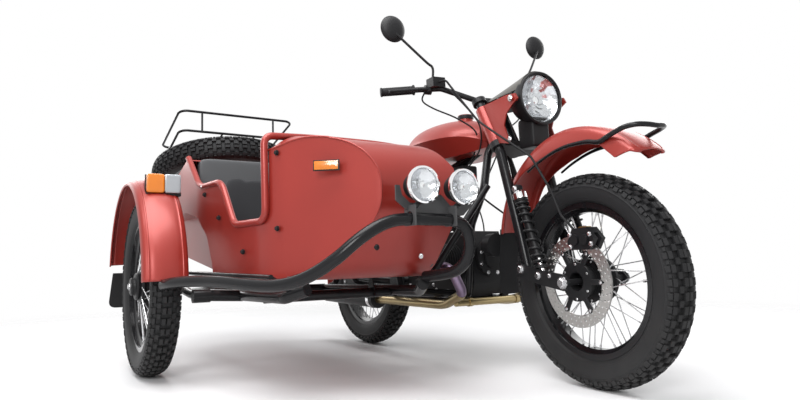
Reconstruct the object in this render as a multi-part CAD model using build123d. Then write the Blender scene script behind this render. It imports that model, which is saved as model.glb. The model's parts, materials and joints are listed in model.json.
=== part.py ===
from build123d import *
import os
from math import cos, radians, sin, tan

# A sidecar motorcycle with a flat twin engine, a leading link fork and a spare wheel on the boot lid.
# Sizes are in mm. The working frame has X forward, Y left and Z up from the ground under the rear axle.
# The written parts stand on the ground with the origin under the middle of the whole vehicle.

# Driving dimensions of the running gear
WHEELBASE = 1500
TRACK = 1160
SIDE_LEAD = 255
TYRE_R = 350
RIM_R = 255
RIM_HALF = 36
BEAD_R = 242
WELL_R = 228
RIM_BORE = 223
AXLE_R = 10
AXLE_PLAY = 0.05
SPOKES_A_SIDE = 20
SPOKE_T = 3.6
LUGS = 32
LUG_DEPTH = 9
GROOVE = 13

# Steering geometry
RAKE = 27
STEER_FOOT = 1570
STEER_REST = -4.5
STEM_R = 15
HEAD_LOW = 850
HEAD_HIGH = 1008
FORK_Y = 105
FORK_LEAD = 33
LEG_R = 19
LINK_X = 1299
LINK_Z = 393

# Sidecar body
BODY_OUT = -1005
BODY_IN = -372
BODY_WALL = 5
FLOOR_Z = 370
COWL_X = 945
BULKHEAD_X = 175
TAIL_X = -340
ARCH_Y = -900
RIM_TUBE_R = 12.5

# Spare wheel on the lid
SPARE_X = -275
SPARE_Y = -708
SPARE_Z = 903
LID_SLOPE = 15
RACK_Y = -687

# The boot lid's hinges
HINGE_X = 165.5
HINGE_Z = 884
HINGE_Y = (-820, -540)
HINGE_R = 8
PIN_R = 4

# Where the finished parts have their origin, in the working frame
ORIGIN_X = 611
ORIGIN_Y = -400

LOW = (Align.CENTER, Align.CENTER, Align.MIN)


# Small makers of shapes
def block(x0, x1, y0, y1, z0, z1):
    """A plain box between two corners."""
    return Pos((x0 + x1) / 2, (y0 + y1) / 2, (z0 + z1) / 2) * Box(x1 - x0, y1 - y0, z1 - z0)


def rod(start, end, radius):
    """A round bar between two points."""
    run = Vector(end) - Vector(start)
    return Plane(origin=start, z_dir=run) * Cylinder(radius, run.length, align=LOW)


def bar(start, end, width, depth):
    """A square cut bar between two points."""
    run = Vector(end) - Vector(start)
    return Plane(origin=start, z_dir=run) * Box(width, depth, run.length, align=LOW)


def pipe(points, radius, bend, close=False):
    """A bent tube through the points, with one radius of bend or a list of them."""
    path = FilletPolyline(*points, radius=bend, close=close)
    return sweep(Plane(origin=path @ 0, z_dir=path % 0) * Circle(radius), path)


def turned(outline):
    """A ring about the Y axis from an outline of (radius, y) points."""
    return revolve(make_face(Polyline(*outline, close=True)), Axis.Y)


def slab(outline, y0, y1):
    """A plate from an outline of (x, z) points, between two values of y."""
    face = make_face(Polyline(*[(x, 0, z) for x, z in outline], close=True))
    return Pos(0, y1, 0) * extrude(face, y1 - y0, dir=(0, -1, 0))


def mirrored(shape):
    """The same shape on the other side of the motorcycle's middle plane."""
    return mirror(shape, Plane.XZ)


def both(shape):
    """A shape and its twin across the middle plane."""
    return [shape, mirrored(shape)]


def steer_x(z):
    """Where the steering axis lies at a height."""
    return STEER_FOOT - z * tan(radians(RAKE))


def turned_fork(shape):
    """A fork piece, turned to where the steering rests."""
    axis = Axis((STEER_FOOT, 0, 0), (-sin(radians(RAKE)), 0, cos(radians(RAKE))))
    return shape.rotate(axis, STEER_REST)


def solids_of(shapes):
    """One compound of separate solids."""
    found = []
    for shape in shapes:
        found += shape.solids()
    return Compound(children=found)


def biggest(shape):
    """The largest solid of a shape, where a cut leaves small scraps inside its neighbour."""
    return shape.solids().sort_by(SortBy.VOLUME)[-1]


# Wheels, built round the Y axis at the origin
def tyre():
    """A tyre whose tread is cut into coarse lugs, left and right in turn."""
    half = [(BEAD_R, 32), (RIM_R, 32), (RIM_R + 15, 47), (RIM_R + 50, 51), (TYRE_R - 18, 50), (TYRE_R - 6, 32),
            (TYRE_R, 10)]
    casing = turned(half + [(r, -y) for r, y in reversed(half)])
    groove = block(TYRE_R - LUG_DEPTH, TYRE_R + 10, 4, 70, -GROOVE / 2, GROOVE / 2)
    grooves = []
    for count in range(LUGS):
        angle = 360 / LUGS * count
        grooves += [Rot(0, angle, 0) * groove, Rot(0, angle + 180 / LUGS, 0) * mirrored(groove)]
    return casing - grooves


def rim():
    outer = [(RIM_R, RIM_HALF), (RIM_R, 32), (BEAD_R, 32), (BEAD_R, 20), (WELL_R, 13)]
    inner = [(RIM_BORE, 15), (BEAD_R - 5, 23), (BEAD_R - 5, RIM_HALF)]
    half = outer + [(r, -y) for r, y in reversed(outer)]
    return turned(half + [(r, -y) for r, y in reversed(inner)] + inner)


def hub():
    """A barrel with two spoke flanges, and the spokes laced to the rim's inner face."""
    shape = turned([(AXLE_R + AXLE_PLAY, -45), (50, -45), (50, -38), (72, -34), (72, -28), (40, -22),
                    (40, 22), (72, 28), (72, 34), (50, 38), (50, 45), (AXLE_R + AXLE_PLAY, 45)])
    spokes = []
    for side in (1, -1):
        for count in range(SPOKES_A_SIDE):
            angle = 360 / SPOKES_A_SIDE * (count + 0.25 * side)
            lean = 24 if count % 2 else -24
            start = Vector(66, 0, 0).rotate(Axis.Y, angle) + Vector(0, 31 * side, 0)
            end = Vector(RIM_BORE + 6, 0, 0).rotate(Axis.Y, angle + lean) + Vector(0, 7 * side, 0)
            spokes.append(bar(start, end, SPOKE_T, SPOKE_T))
    drum = Rot(90, 0, 0) * Cylinder(RIM_BORE, 200)
    return (shape + spokes) & drum


def brake_disc(side):
    """A ring on six arms, carried at the hub's end."""
    ring = turned([(100, 77), (147, 77), (147, 82), (100, 82)])
    carrier = turned([(30, 45), (50, 45), (50, 77), (62, 77), (62, 82), (30, 82)])
    arms = [Rot(0, 60 * k, 0) * block(56, 104, 77, 82, -9, 9) for k in range(6)]
    disc = (ring + carrier + arms).solid()
    return disc if side > 0 else mirrored(disc)


def hub_cap():
    """The cap on the outer end of the sidecar's hub."""
    return turned([(0, -45), (26, -45), (34, -50), (34, -64), (28, -70), (0, -70)])


# Fork and what steers with it, straight ahead
def leg_x(z):
    """Where the upper fork leg lies at a height."""
    return steer_x(z) + FORK_LEAD / cos(radians(RAKE))


def fork_legs():
    leg = pipe([(leg_x(1028), FORK_Y, 1028), (leg_x(823), FORK_Y, 823), (LINK_X - 34, 103, 520),
                (LINK_X, 103, LINK_Z - 14)], LEG_R, 60)
    return both(leg)


def yoke(z, thickness):
    """A yoke square to the steering axis: a boss on the stem, two clamps and the web between them."""
    web = Polyline((-16, -24), (-16, 24), (14, 100), (52, 105), (52, -105), (14, -100), close=True)
    body = extrude(make_face(web), thickness / 2, both=True) + Cylinder(28, thickness)
    for side in (1, -1):
        body += Pos(FORK_LEAD, FORK_Y * side, 0) * Cylinder(LEG_R + 9, thickness)
    return Pos(steer_x(z), 0, z) * Rot(0, -RAKE, 0) * body


def yokes():
    legs = fork_legs()
    stem = rod((steer_x(HEAD_LOW - 14), 0, HEAD_LOW - 14), (steer_x(HEAD_HIGH + 14), 0, HEAD_HIGH + 14),
               STEM_R - AXLE_PLAY)
    body = yoke(HEAD_LOW - 14, 24) + yoke(HEAD_HIGH + 14, 20) + stem
    return (body - legs).solid()


# x and z of the plate that runs from the fork leg to the headlamp, hollowed round the lamp's bowl
EAR = [(1120, 1014), (1256, 1022), (1306, 1016), (1318, 996), (1287, 981), (1249, 954), (1232, 916), (1252, 864),
       (1262, 842), (1198, 856), (1128, 940)]


def fork_ears():
    """Covers round the upper legs, each with a plate that carries the headlamp."""
    low, high = 838 + 15, HEAD_HIGH - 4
    ears = []
    for side in (1, -1):
        sleeve = rod((leg_x(low), FORK_Y * side, low), (leg_x(high), FORK_Y * side, high), LEG_R + 8)
        inner, outer = sorted((112 * side, 117 * side))
        bolt = rod((1286, 80 * side, 1003), (1286, 123 * side, 1003), 9)
        ears.append(sleeve + slab(EAR, inner, outer) + bolt)
    return [biggest(ear - fork_legs() - yokes() - headlamp_shell()) for ear in ears]


def headlamp_shell():
    bowl = Polyline((0, 0), (0, 84), (0, 95), (-16, 95), (-62, 80), (-102, 46), (-116, 0), close=True)
    return Pos(1300, 0, 1005) * revolve(make_face(bowl), Axis.X)


def headlamp_lens():
    glass = Polyline((0, 0), (0, 88), (8, 88), (18, 50), (20, 0), close=True)
    return Pos(1300, 0, 1005) * revolve(make_face(glass), Axis.X)


def headlamp_cowl():
    """The small dark hood behind the headlamp, arched across."""
    sections = []
    # x, height of the crown and of the edges
    for x, crown, edge in [(1085, 1064, 1032), (1298, 1109, 1040)]:
        over = ThreePointArc((x, -86, edge), (x, 0, crown), (x, 86, edge))
        under = ThreePointArc((x, 82, edge), (x, 0, crown - 5), (x, -82, edge))
        sections.append(make_face(Curve() + [over, Line(over @ 1, under @ 0), under, Line(under @ 1, over @ 0)]))
    return biggest(loft(sections) - headlamp_shell() - yokes())


def handlebar():
    half = [(1040, 75, 1052), (978, 214, 1110), (902, 292, 1118), (857, 416, 1110)]
    right = [(x, -y, z) for x, y, z in half]
    bar_path = list(reversed(right)) + half
    risers = [rod((steer_x(1030), 38 * s, HEAD_HIGH + 24), (1040, 38 * s, 1052), 13) for s in (1, -1)]
    tube = pipe(bar_path, 11, 45)
    return (tube + risers - yokes()).solid()


def grips():
    grip = rod((902, 292, 1118), (855, 421, 1109.8), 17)
    return [piece - handlebar() for piece in both(grip)]


def bar_controls():
    """The brake and clutch levers with their perches, the switches, and the brake's master cylinder."""
    made = []
    for side in (1, -1):
        perch = rod((932, 262 * side, 1114), (938, 236 * side, 1112.5), 19)
        switch = rod((901, 290 * side, 1118), (914, 268 * side, 1116.3), 20)
        arm = bar((932, 248 * side, 1112), (968, 262 * side, 1108), 14, 14)
        lever = pipe([(962, 254 * side, 1108), (958, 300 * side, 1106), (925, 420 * side, 1096)], 6, 30)
        made.append(perch + switch + arm + lever)
    made[1] += block(948, 1000, -262, -206, 1112, 1150)
    return [biggest(piece - handlebar() - grips() - mirrors()) for piece in made]


def brake_hose():
    """The hose from the master cylinder to the caliper, outside the right fork leg and then in front of it."""
    return pipe([(1000, -234, 1130), (1042, -232, 1126), (1085, -196, 1040), (1135, -160, 950), (1230, -146, 880),
                 (1360, -112, 780), (1431, -98, 655), (1469, -97, 568), (1520, -97, 519)], 4,
                [20, 60, 90, 70, 60, 80, 40])


def mirrors():
    # y of the stem's foot, centre of the glass x, y, z
    table = [(-235, 925, -385, 1352), (235, 868, 395, 1383)]
    made = []
    for foot, x, y, z in table:
        head = Pos(x, y, z) * Rot(0, 90, 0) * Cylinder(54, 14)
        made.append(head)
        stem = pipe([(957, foot, 1124), (957, foot, 1205), (x + 10, y, z)], 5, 25)
        made[-1] = head + stem
    return made


def front_fender():
    """An arched guard whose front end is rounded off in plan."""
    outline = block(900, 1787, -76, 76, 200, 1000)
    corners = outline.edges().filter_by(Axis.Z).group_by(Axis.X)[-1]
    return arched(1492, 463, 394, 75, 22, 3, 41, 171) & fillet(corners, 52)


def arched(x, z, radius, half, drop, wall, start, end):
    """A curved guard: an arched strip with turned down sides, swept round a centre."""
    outer = [(radius - drop, -half), (radius - 6, -half * 0.72), (radius, 0), (radius - 6, half * 0.72),
             (radius - drop, half)]
    inner = [(r - wall, y * (half - wall) / half) for r, y in reversed(outer)]
    face = make_face(Polyline(*outer, *inner, close=True))
    shape = revolve(face, Axis.Y, end - start)
    return Pos(x, 0, z) * Rot(0, -end, 0) * shape


def fender_hoop():
    """The bar that guards the front fender's nose."""
    half = [(1598, 81, 790), (1668, 84, 816), (1745, 80, 826), (1790, 38, 812)]
    path = [(x, -y, z) for x, y, z in half] + list(reversed(half))
    return pipe(path, 8, 24)


def front_flap():
    return block(1098, 1104, -75, 75, 292, 540) - front_fender()


def leading_links():
    links = []
    axle = rod((WHEELBASE, -147, TYRE_R), (WHEELBASE, 147, TYRE_R), AXLE_R)
    for side in (1, -1):
        inner, outer = sorted((127 * side, 139 * side))
        arm = slab([(LINK_X - 26, LINK_Z - 22), (LINK_X - 22, LINK_Z + 22), (1400, 388), (WHEELBASE, TYRE_R + 26),
                    (WHEELBASE + 24, TYRE_R), (WHEELBASE, TYRE_R - 26), (1390, 342)], inner, outer)
        bolt = rod((LINK_X, 104 * side, LINK_Z), (LINK_X, 146 * side, LINK_Z), 9)
        links.append(arm + bolt - fork_legs())
    return (links[0] + links[1] + axle).solid()


COILS = 9


def shock(low, high, spring_r):
    """A coil over damper: a shaft, the spring's coils as ridges round the damper, a top cup and two eyes."""
    run = Vector(high) - Vector(low)
    first, last = 32, run.length - 50
    outline = [(0, 0), (8, 0), (8, first), (spring_r, first)]
    for coil in range(COILS):
        z = first + 8 + (last - first - 8) / COILS * coil
        outline += [(spring_r - 9, z), (spring_r, z + 6), (spring_r, z + 12), (spring_r - 9, z + 18)]
    outline += [(spring_r, last), (spring_r, run.length - 20), (9, run.length - 12), (9, run.length), (0, run.length)]
    profile = make_face(Polyline(*[(r, 0, z) for r, z in outline], close=True))
    body = Plane(origin=low, z_dir=run) * revolve(profile, Axis.Z)
    for end in (low, high):
        body += Pos(*end) * Rot(90, 0, 0) * Cylinder(15, 24)
    return body


def front_shocks():
    shocks = both(shock((1386, 114, 372), (1281, 114, 676), 25))
    return [piece - leading_links() for piece in shocks]


def front_caliper():
    """The caliper over the disc's top, with two piston housings on its outer face."""
    body = slab([(1498, 478), (1522, 520), (1580, 522), (1612, 486), (1590, 452), (1510, 452)], -106, -55)
    for x in (1534, 1574):
        body += rod((x, -114, 484), (x, -100, 484), 17)
    slot = block(1400, 1700, -87.5, -71.5, 300, 504)
    return (body - slot - brake_hose()).solid()


# The wheels' axles, arms and dampers on the chassis
def rear_swingarm():
    left = pipe([(412, 56, 330), (350, 60, 332), (290, 112, 336), (-20, 112, TYRE_R)], 19, 40)
    cross = rod((412, -83, 330), (412, 83, 330), 22)
    right = pipe([(412, -56, 330), (350, -60, 332), (280, -125, 338), (80, -125, TYRE_R)], 20, 40)
    axle = rod((0, -58, TYRE_R), (0, 146, TYRE_R), AXLE_R)
    return (left + cross + right + axle).solid()


def final_drive():
    case = Pos(0, -88, TYRE_R) * Rot(90, 0, 0) * Cylinder(82, 60)
    nose = rod((30, -100, TYRE_R), (95, -122, TYRE_R), 36)
    return (case + nose - rear_swingarm()).solid()


def rear_shocks():
    return both(shock((20, 158, 372), (82, 158, 690), 27))


def rear_fender():
    return arched(0, TYRE_R + 16, 394, 78, 30, 3, 28, 190)


def plate_bracket():
    """The number plate's carrier with its four bolt holes."""
    plate = block(-412, -409, -95, 95, 430, 500) + block(-409.5, -370, -20, 20, 450, 480)
    for y in (-70, 70):
        for z in (445, 485):
            plate -= rod((-420, y, z), (-400, y, z), 3.2)
    return biggest(plate - rear_fender())


def tail_lamp():
    lamp = rod((-412, 0, 545), (-330, 0, 545), 42)
    return biggest(lamp - rear_fender())


def sidecar_swingarm():
    arm = pipe([(620, -1056, 318), (500, -1056, 322), (SIDE_LEAD - 18, -1056, TYRE_R)], 17, 80)
    pivot = rod((620, -1080, 318), (620, -1020, 318), 24)
    axle = rod((SIDE_LEAD, -1203, TYRE_R), (SIDE_LEAD, -1036, TYRE_R), AXLE_R)
    return (arm + pivot + axle).solid()


def sidecar_fender():
    return Pos(0, -1172, 0) * arched(210, 345, 440, 78, 26, 3, 4, 168)


def sidecar_flap():
    return block(-240, -234, -1245, -1100, 242, 400)


def fender_lamp():
    """A lamp on a wedge over the guard's front."""
    wedge = slab([(398, 732), (404, 700), (452, 700), (466, 716), (466, 760), (430, 768)], -1188, -1112)
    return biggest(fillet(wedge.edges().filter_by(Axis.Y), 5) - sidecar_fender())


# The motorcycle's frame and body
PEG_X = 640
PEG_Z = 306


def frame_tubes():
    """The cradle, the spine, the steering head and the footrests."""
    cradle = []
    for side in (1, -1):
        points = [(steer_x(920) - 34, 24, 908), (1044, 50, 840), (1062, 92, 700), (985, 100, 560),
                  (950, 100, 262), (470, 100, 262), (440, 112, 470), (240, 112, 715), (-150, 112, 778)]
        cradle.append(pipe([(x, y * side, z) for x, y, z in points], 16, [50, 60, 90, 60, 60, 90, 80]))
    axis = Vector(-sin(radians(RAKE)), 0, cos(radians(RAKE)))
    foot = Vector(steer_x(HEAD_LOW), 0, HEAD_LOW)
    top = Vector(steer_x(HEAD_HIGH), 0, HEAD_HIGH)
    head = rod(foot, top, 32)
    spine = pipe([(steer_x(930) - 10, 0, 930), (900, 0, 860), (560, 0, 770), (240, 0, 722)], 20, [200, 200])
    cross = [rod((240, -112, 715), (240, 112, 715), 16), rod((-150, -112, 778), (-150, 112, 778), 14),
             rod((470, -100, 262), (470, 100, 262), 16), rod((925, -100, 262), (925, 100, 262), 14)]
    plates = both(slab([(388, 300), (466, 300), (466, 360), (388, 360)], 84, 116))
    for side in (1, -1):
        cross.append(rod((PEG_X, 100 * side, 262), (PEG_X, 114 * side, PEG_Z), 11))
        cross.append(rod((PEG_X, 106 * side, PEG_Z), (PEG_X, 150 * side, PEG_Z), 10))
        cross.append(rod((PEG_X, 150 * side, PEG_Z), (PEG_X, 236 * side, PEG_Z), 16))
    frame = cradle[0] + cradle[1] + head + spine + cross + plates
    return (frame - rod(foot - axis, top + axis, STEM_R)).solid()


def engine_block():
    """The crankcase with its front cover, and the gearbox behind it."""
    case = slab([(700, 285), (955, 285), (968, 330), (968, 470), (940, 540), (700, 540)], -82, 82)
    cover = rod((960, 0, 430), (990, 0, 430), 72)
    gearbox = slab([(490, 300), (705, 300), (705, 530), (580, 520), (490, 430)], -78, 78)
    sump = slab([(710, 285), (724, 256), (888, 256), (902, 285)], -72, 72)
    for y in (-54, -36, -18, 0, 18, 36, 54):
        sump += block(716, 896, y - 3, y + 3, 246, 285)
    cover += rod((985, 0, 430), (996, 0, 430), 40)
    return [(case + cover + gearbox + sump).solid(), airbox()]


def airbox():
    """The air filter's box over the gearbox, with a hose to each carburettor."""
    box = block(480, 636, -66, 66, 566, 694)
    box = fillet(box.edges().filter_by(Axis.Y), 24)
    hose = pipe([(570, 30, 600), (570, 110, 600), (652, 192, 474)], 19, 30)
    return (box + both(hose) - cylinders()).solid()


def cylinders():
    """Finned barrels and heads with their carburettors, one on each side."""
    outline = [(48, 82)]
    for fin in range(9):
        y = 96 + 12 * fin
        outline += [(48, y), (72, y), (72, y + 5), (48, y + 5)]
    outline += [(48, 214), (70, 214), (70, 222), (60, 226), (60, 232), (70, 236), (70, 244), (60, 248), (60, 254),
                (70, 258), (70, 290), (0, 290), (0, 82)]
    barrel = Pos(850, 0, 420) * turned(outline)
    intake = rod((812, 252, 436), (728, 226, 456), 17) + rod((736, 228, 454), (652, 192, 474), 23)
    bowl = rod((694, 211, 462), (694, 211, 408), 19)
    return both(barrel + intake + bowl)


def rocker_covers():
    cover = Pos(850, 318, 420) * Box(120, 55.9, 110)
    cover = fillet(cover.faces().sort_by(Axis.Y)[-1].edges(), 18)
    return both(cover)


# x, half width, and the heights of the crown, the shoulders and the base
TANK = [(1030, 44, 922, 892, 874), (960, 104, 984, 920, 858), (800, 150, 1024, 930, 850),
        (620, 132, 1024, 935, 862), (490, 70, 984, 925, 880)]


def fuel_tank():
    """A drop shaped tank, lofted through its cross sections, with its filler cap."""
    sections = []
    for x, half, crown, shoulder, base in TANK:
        over = ThreePointArc((x, -half, shoulder), (x, 0, crown), (x, half, shoulder))
        under = Polyline((x, half, shoulder), (x, half * 0.7, base), (x, -half * 0.7, base), (x, -half, shoulder))
        sections.append(make_face(Curve() + [over, under]))
    cap = Pos(850, 0, 1000) * Cylinder(32, 40, align=LOW)
    return (loft(sections) + cap - frame_tubes()).solid()


def seat():
    pad = slab([(560, 800), (548, 850), (420, 862), (150, 880), (-180, 872), (-190, 820), (240, 790)], -125, 125)
    return pad - frame_tubes() - fuel_tank()


def exhaust_headers():
    made = []
    for side in (1, -1):
        points = [(905, 250, 400), (1040, 250, 400), (1046, 200, 300), (900, 175, 250), (378, 175, 251)]
        made.append(pipe([(x, y * side, z) for x, y, z in points], 19, [50, 30, 60]))
    balance = rod((985, -189, 262), (985, 189, 262), 15)
    return (made[0] + made[1] + balance - cylinders() - silencers()).solid()


def silencers():
    return [rod((380, 175 * s, 251), (-150, 180 * s, 262), 42) for s in (1, -1)]


def horn():
    return rod((1046, -60, 479), (1084, -60, 479), 44)


# Sidecar chassis and its links
def sidecar_frame():
    outer = pipe([(1120, -860, 345), (1040, -900, 320), (-120, -900, 300), (-200, -840, 300),
                  (-200, -450, 300), (-120, -390, 300), (1040, -390, 320), (1120, -430, 345)], 20, 50)
    cross = [rod((x, -900, 311), (x, -390, 311), 18) for x in (850, 250)]
    lugs = [rod((x, -390, 311), (x, -100, 288), 16) for x in (880, 520)]
    stub = rod((620, -900, 311), (620, -1020, 318), 20)
    rail = pipe([(150, -1032, 400), (150, -1032, 340), (240, -960, 305), (240, -895, 302)], 8, 20)
    rail += rod((150, -1032, 400), (1070, -958, 386), 8)
    rail += rod((1062, -958, 386), (1062, -876, 330), 8)
    # x of the foot, then the two heights of the body's floor over it
    seats = [(250, 407.2, 405.1), (850, FLOOR_Z, FLOOR_Z)]
    brackets = [slab([(x - 30, 300), (x + 30, 300), (x + 8, front), (x - 8, rear)], y - 3, y + 3)
                for x, rear, front in seats for y in (-800, -480)]
    return (outer + cross + lugs + stub + rail + brackets - frame_tubes() - sidecar_swingarm()).solid()


def sidecar_struts():
    """The two upper links to the motorcycle's frame."""
    front = pipe([(1000, -390, 318), (1000, -338, 335), (1088, -96, 706)], 13, 20)
    rear = pipe([(250, -390, 305), (250, -338, 325), (250, -100, 700)], 13, 20)
    return [biggest(strut - sidecar_frame() - frame_tubes()) for strut in (front, rear)]


def sidecar_hoop():
    points = [(640, -1182, 348), (730, -1158, 350), (900, -1062, 376), (1180, -965, 388), (1348, -805, 474),
              (1350, -690, 556), (1350, -420, 550), (1348, -402, 430), (1120, -420, 372)]
    return pipe(points, 19, [60, 90, 120, 80, 50, 50, 60]) - sidecar_frame()


# y and z of the bracket under the spot lamps, which cradles both and rises between them
LAMP_CRADLE = [(-672, 652), (-672, 606), (-634, 578), (-590, 556), (-470, 556), (-420, 566), (-386, 598),
               (-386, 652), (-400, 652), (-412, 616), (-438, 596), (-472, 596), (-506, 628), (-552, 628),
               (-582, 600), (-622, 600), (-650, 622), (-658, 652)]


def lamp_bracket():
    """The shaped plate over the hoop, with a foot behind each lamp and a clamp on the tube."""
    plate = extrude(make_face(Polyline(*[(1336, y, z) for y, z in LAMP_CRADLE], close=True)), 6, dir=(1, 0, 0))
    for y in (-605, -454):
        plate += rod((1338, y, 588), (1364, y, 600), 9)
        plate += block(1322, 1378, y - 26, y - 20, 530, 592)
    return biggest(plate - sidecar_hoop() - spot_lamps())


def spot_lamps():
    """Two round lamps with cooling fins behind the rim."""
    outline = [(0, 0), (0, 56), (-10, 56)]
    for fin in range(5):
        x, radius = -14 - 9 * fin, 50 - 4.5 * fin
        outline += [(x, radius - 8), (x - 3, radius - 8), (x - 3, radius), (x - 7, radius)]
    outline += [(-60, 20), (-60, 0)]
    lamp = revolve(make_face(Polyline(*outline, close=True)), Axis.X)
    return [Pos(1392, y, 650) * lamp for y in (-605, -454)]


# The sidecar's body: the corners of its outlines, each with the radius of its bend
# x and y of the plan
PLAN = [(TAIL_X, BODY_OUT, 80), (422, BODY_OUT, 900), (940, -930, 250), (1285, -643, 120),
        (1285, BODY_IN, 60), (TAIL_X, BODY_IN, 60)]
# x and z of the side
SIDE = [(TAIL_X, 560, 40), (-250, 470, 80), (533, FLOOR_Z, 150), (1078, FLOOR_Z, 168), (1254, 578, 163),
        (1254, 799, 168), (900, 868, 60), (190, 876, 60), (TAIL_X, 734, 40)]
# x and z of the recess for the sidecar's wheel
ARCH = [(TAIL_X - 60, 300, 10), (560, 300, 10), (535, 430, 80), (483, 540, 60), (380, 616, 90), (184, 652, 90),
        (TAIL_X - 60, 652, 10)]
# y and z of the crown over the cowl's rear edge
CROWN = [(-1040, 710), (-840, 862), (-420, 862), (-330, 727)]
CROWN_BENDS = [150, 70]
COWL_FALL = (354, 0, -69)
OPENING = [(208, 885), (395, 735), (612, 735), (722, 567), (COWL_X, 567), (COWL_X, 780)]
OPENING_BENDS = [150, 70, 40, 45]


def side_face(corners):
    """A face in the side view from corners with their bends."""
    points = [(x, 0, z) for x, z, bend in corners]
    return make_face(FilletPolyline(*points, radius=[bend for x, z, bend in corners], close=True))


def above_cowl(gap):
    """The space over the crowned cowl, which falls towards the nose."""
    points = [(COWL_X, y, z - gap) for y, z in CROWN]
    line = FilletPolyline(*points, radius=CROWN_BENDS)
    over = Polyline(points[-1], (COWL_X, -330, 1100), (COWL_X, -1040, 1100), points[0])
    return extrude(make_face(Curve() + [line, over]), 500, dir=COWL_FALL)


def body_block(inset):
    """The body's outer form, or its inner one a wall's thickness in."""
    side = side_face(SIDE)
    plan = make_face(FilletPolyline(*[(x, y) for x, y, bend in PLAN], radius=[bend for x, y, bend in PLAN],
                                    close=True))
    arch = side_face(ARCH)
    if inset:
        side = offset(side, -inset, kind=Kind.INTERSECTION)
        plan = offset(plan, -inset, kind=Kind.INTERSECTION)
        arch = offset(arch, inset, kind=Kind.INTERSECTION)
    prism = extrude(side, 2000, dir=(0, -1, 0)) & extrude(plan, 2000)
    recess = Pos(0, ARCH_Y + inset, 0) * extrude(arch, 400, dir=(0, -1, 0))
    return prism - recess - above_cowl(inset)


def cockpit_cut():
    """The space that is cut out of the shell to step in and sit down."""
    line = FilletPolyline(*[(x, 0, z) for x, z in OPENING], radius=OPENING_BENDS)
    top = Polyline((COWL_X, 0, 780), (COWL_X, 0, 1000), (208, 0, 1000), (208, 0, 885))
    outer = extrude(make_face(Curve() + [line, top]), 400, dir=(0, -1, 0))
    inner = slab([(208, 760), (COWL_X, 740), (COWL_X, 1000), (208, 1000)], BODY_IN - 60, BODY_IN + 60)
    middle = slab([(208, 600), (COWL_X, 600), (COWL_X, 1000), (208, 1000)], -950, BODY_IN - 40)
    return (Pos(0, -700, 0) * outer) + inner + middle


def lid_cut(gap):
    """The space of the boot lid, wider by a gap all round."""
    return block(TAIL_X + 36 - gap, BULKHEAD_X - 12 + gap, BODY_OUT + 75 - gap, BODY_IN - 40 + gap, 690, 1000)


def sidecar_body():
    shell = body_block(0) - body_block(BODY_WALL)
    shell = shell - cockpit_cut() - lid_cut(5)
    wall = body_block(BODY_WALL) & block(BULKHEAD_X, BULKHEAD_X + BODY_WALL, -1200, 0, 0, 845)
    shell += wall
    for y in HINGE_Y:
        shell += hinge_rod(y, 40, PIN_R)
        for knuckle in (y - 32.5, y + 32.5):
            shell += hinge_rod(knuckle, 7.5, HINGE_R) + slab(HINGE_FOOT, knuckle - 7.5, knuckle + 7.5)
    return shell.solid()


# The lid's hinges: a foot on the body and a leaf on the lid, as outlines of (x, z)
HINGE_FOOT = [(HINGE_X, HINGE_Z - 8), (174, 868), (204, 873), (206, 879), (HINGE_X, HINGE_Z + 8)]
HINGE_LEAF = [(HINGE_X, HINGE_Z - 8), (157, 865), (118, 855), (114, 861), (HINGE_X, HINGE_Z + 8)]


def hinge_rod(y, half, radius):
    """A round piece on the lid's hinge axis."""
    return rod((HINGE_X, y - half, HINGE_Z), (HINGE_X, y + half, HINGE_Z), radius)


def trunk_lid():
    lid = (body_block(0) & lid_cut(0)) - body_block(BODY_WALL)
    for y in HINGE_Y:
        lid += hinge_rod(y, 20, HINGE_R) + slab(HINGE_LEAF, y - 20, y + 20)
        lid -= hinge_rod(y, 30, PIN_R + AXLE_PLAY)
    return lid.solid()


def cockpit_rim():
    """The tube that edges the opening and bridges the cockpit's front."""
    points = [(206, -1001, 884), (395, -996, 735), (612, -980, 735), (722, -964, 567), (945, -929, 567),
              (938, -932, 852), (900, -740, 868), (900, -470, 868), (938, -377, 852), (938, -374, 742),
              (212, -374, 762), (206, -374, 884)]
    tube = pipe(points, RIM_TUBE_R, [90, 60, 40, 40, 30, 60, 60, 30, 30, 30])
    return biggest(tube - sidecar_body())


def sidecar_seat():
    base = slab([(240, 380), (620, 360), (620, 540), (600, 560), (240, 545)], -888, -400)
    return biggest(base - sidecar_body())


def sidecar_backrest():
    return slab([(181, 548), (239, 548), (225, 838), (181, 838)], -888, -400)


# The spare wheel and the rack, on the lid
def spare_place():
    return Pos(SPARE_X, SPARE_Y, SPARE_Z) * Rot(0, -LID_SLOPE, 0) * Rot(90, 0, 0)


def luggage_rack():
    """Two rod loops on a post, one above the other over the spare wheel."""
    loops = []
    for lift, front in ((118, 212), (212, 235)):
        corners = [(-190, 285), (front, 285), (front, -285), (-190, -285)]
        loops.append(pipe([(x, lift, y) for x, y in corners], 6, 40, close=True))
    posts = [rod((-190, 118, y), (-190, 212, y), 5) for y in (180, -180)]
    posts += [rod((212, 118, y), (235, 212, y), 5) for y in (180, -180)]
    bars = [rod((-190, 118, y), (212, 118, y), 5) for y in (-80, 80)]
    bars.append(rod((0, 118, -80), (0, 118, 80), 9))
    rack = Pos(0, RACK_Y - SPARE_Y, 0) * spare_place() * (loops[0] + loops[1] + posts + bars)
    post = spare_place() * (rod((0, -140, 0), (0, 118, 0), 9) + rod((0, -140, 0), (0, -45, 0), 30))
    return biggest(rack + post - trunk_lid())


# Writing the parts, each in its own file
def place(shape):
    """A shape moved from the working frame to the written one."""
    return Pos(-ORIGIN_X, -ORIGIN_Y, 0) * shape


def write(name, shape):
    if isinstance(shape, list):
        shape = solids_of(shape)
    export_step(place(shape), f"parts/{name}.step")


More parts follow.
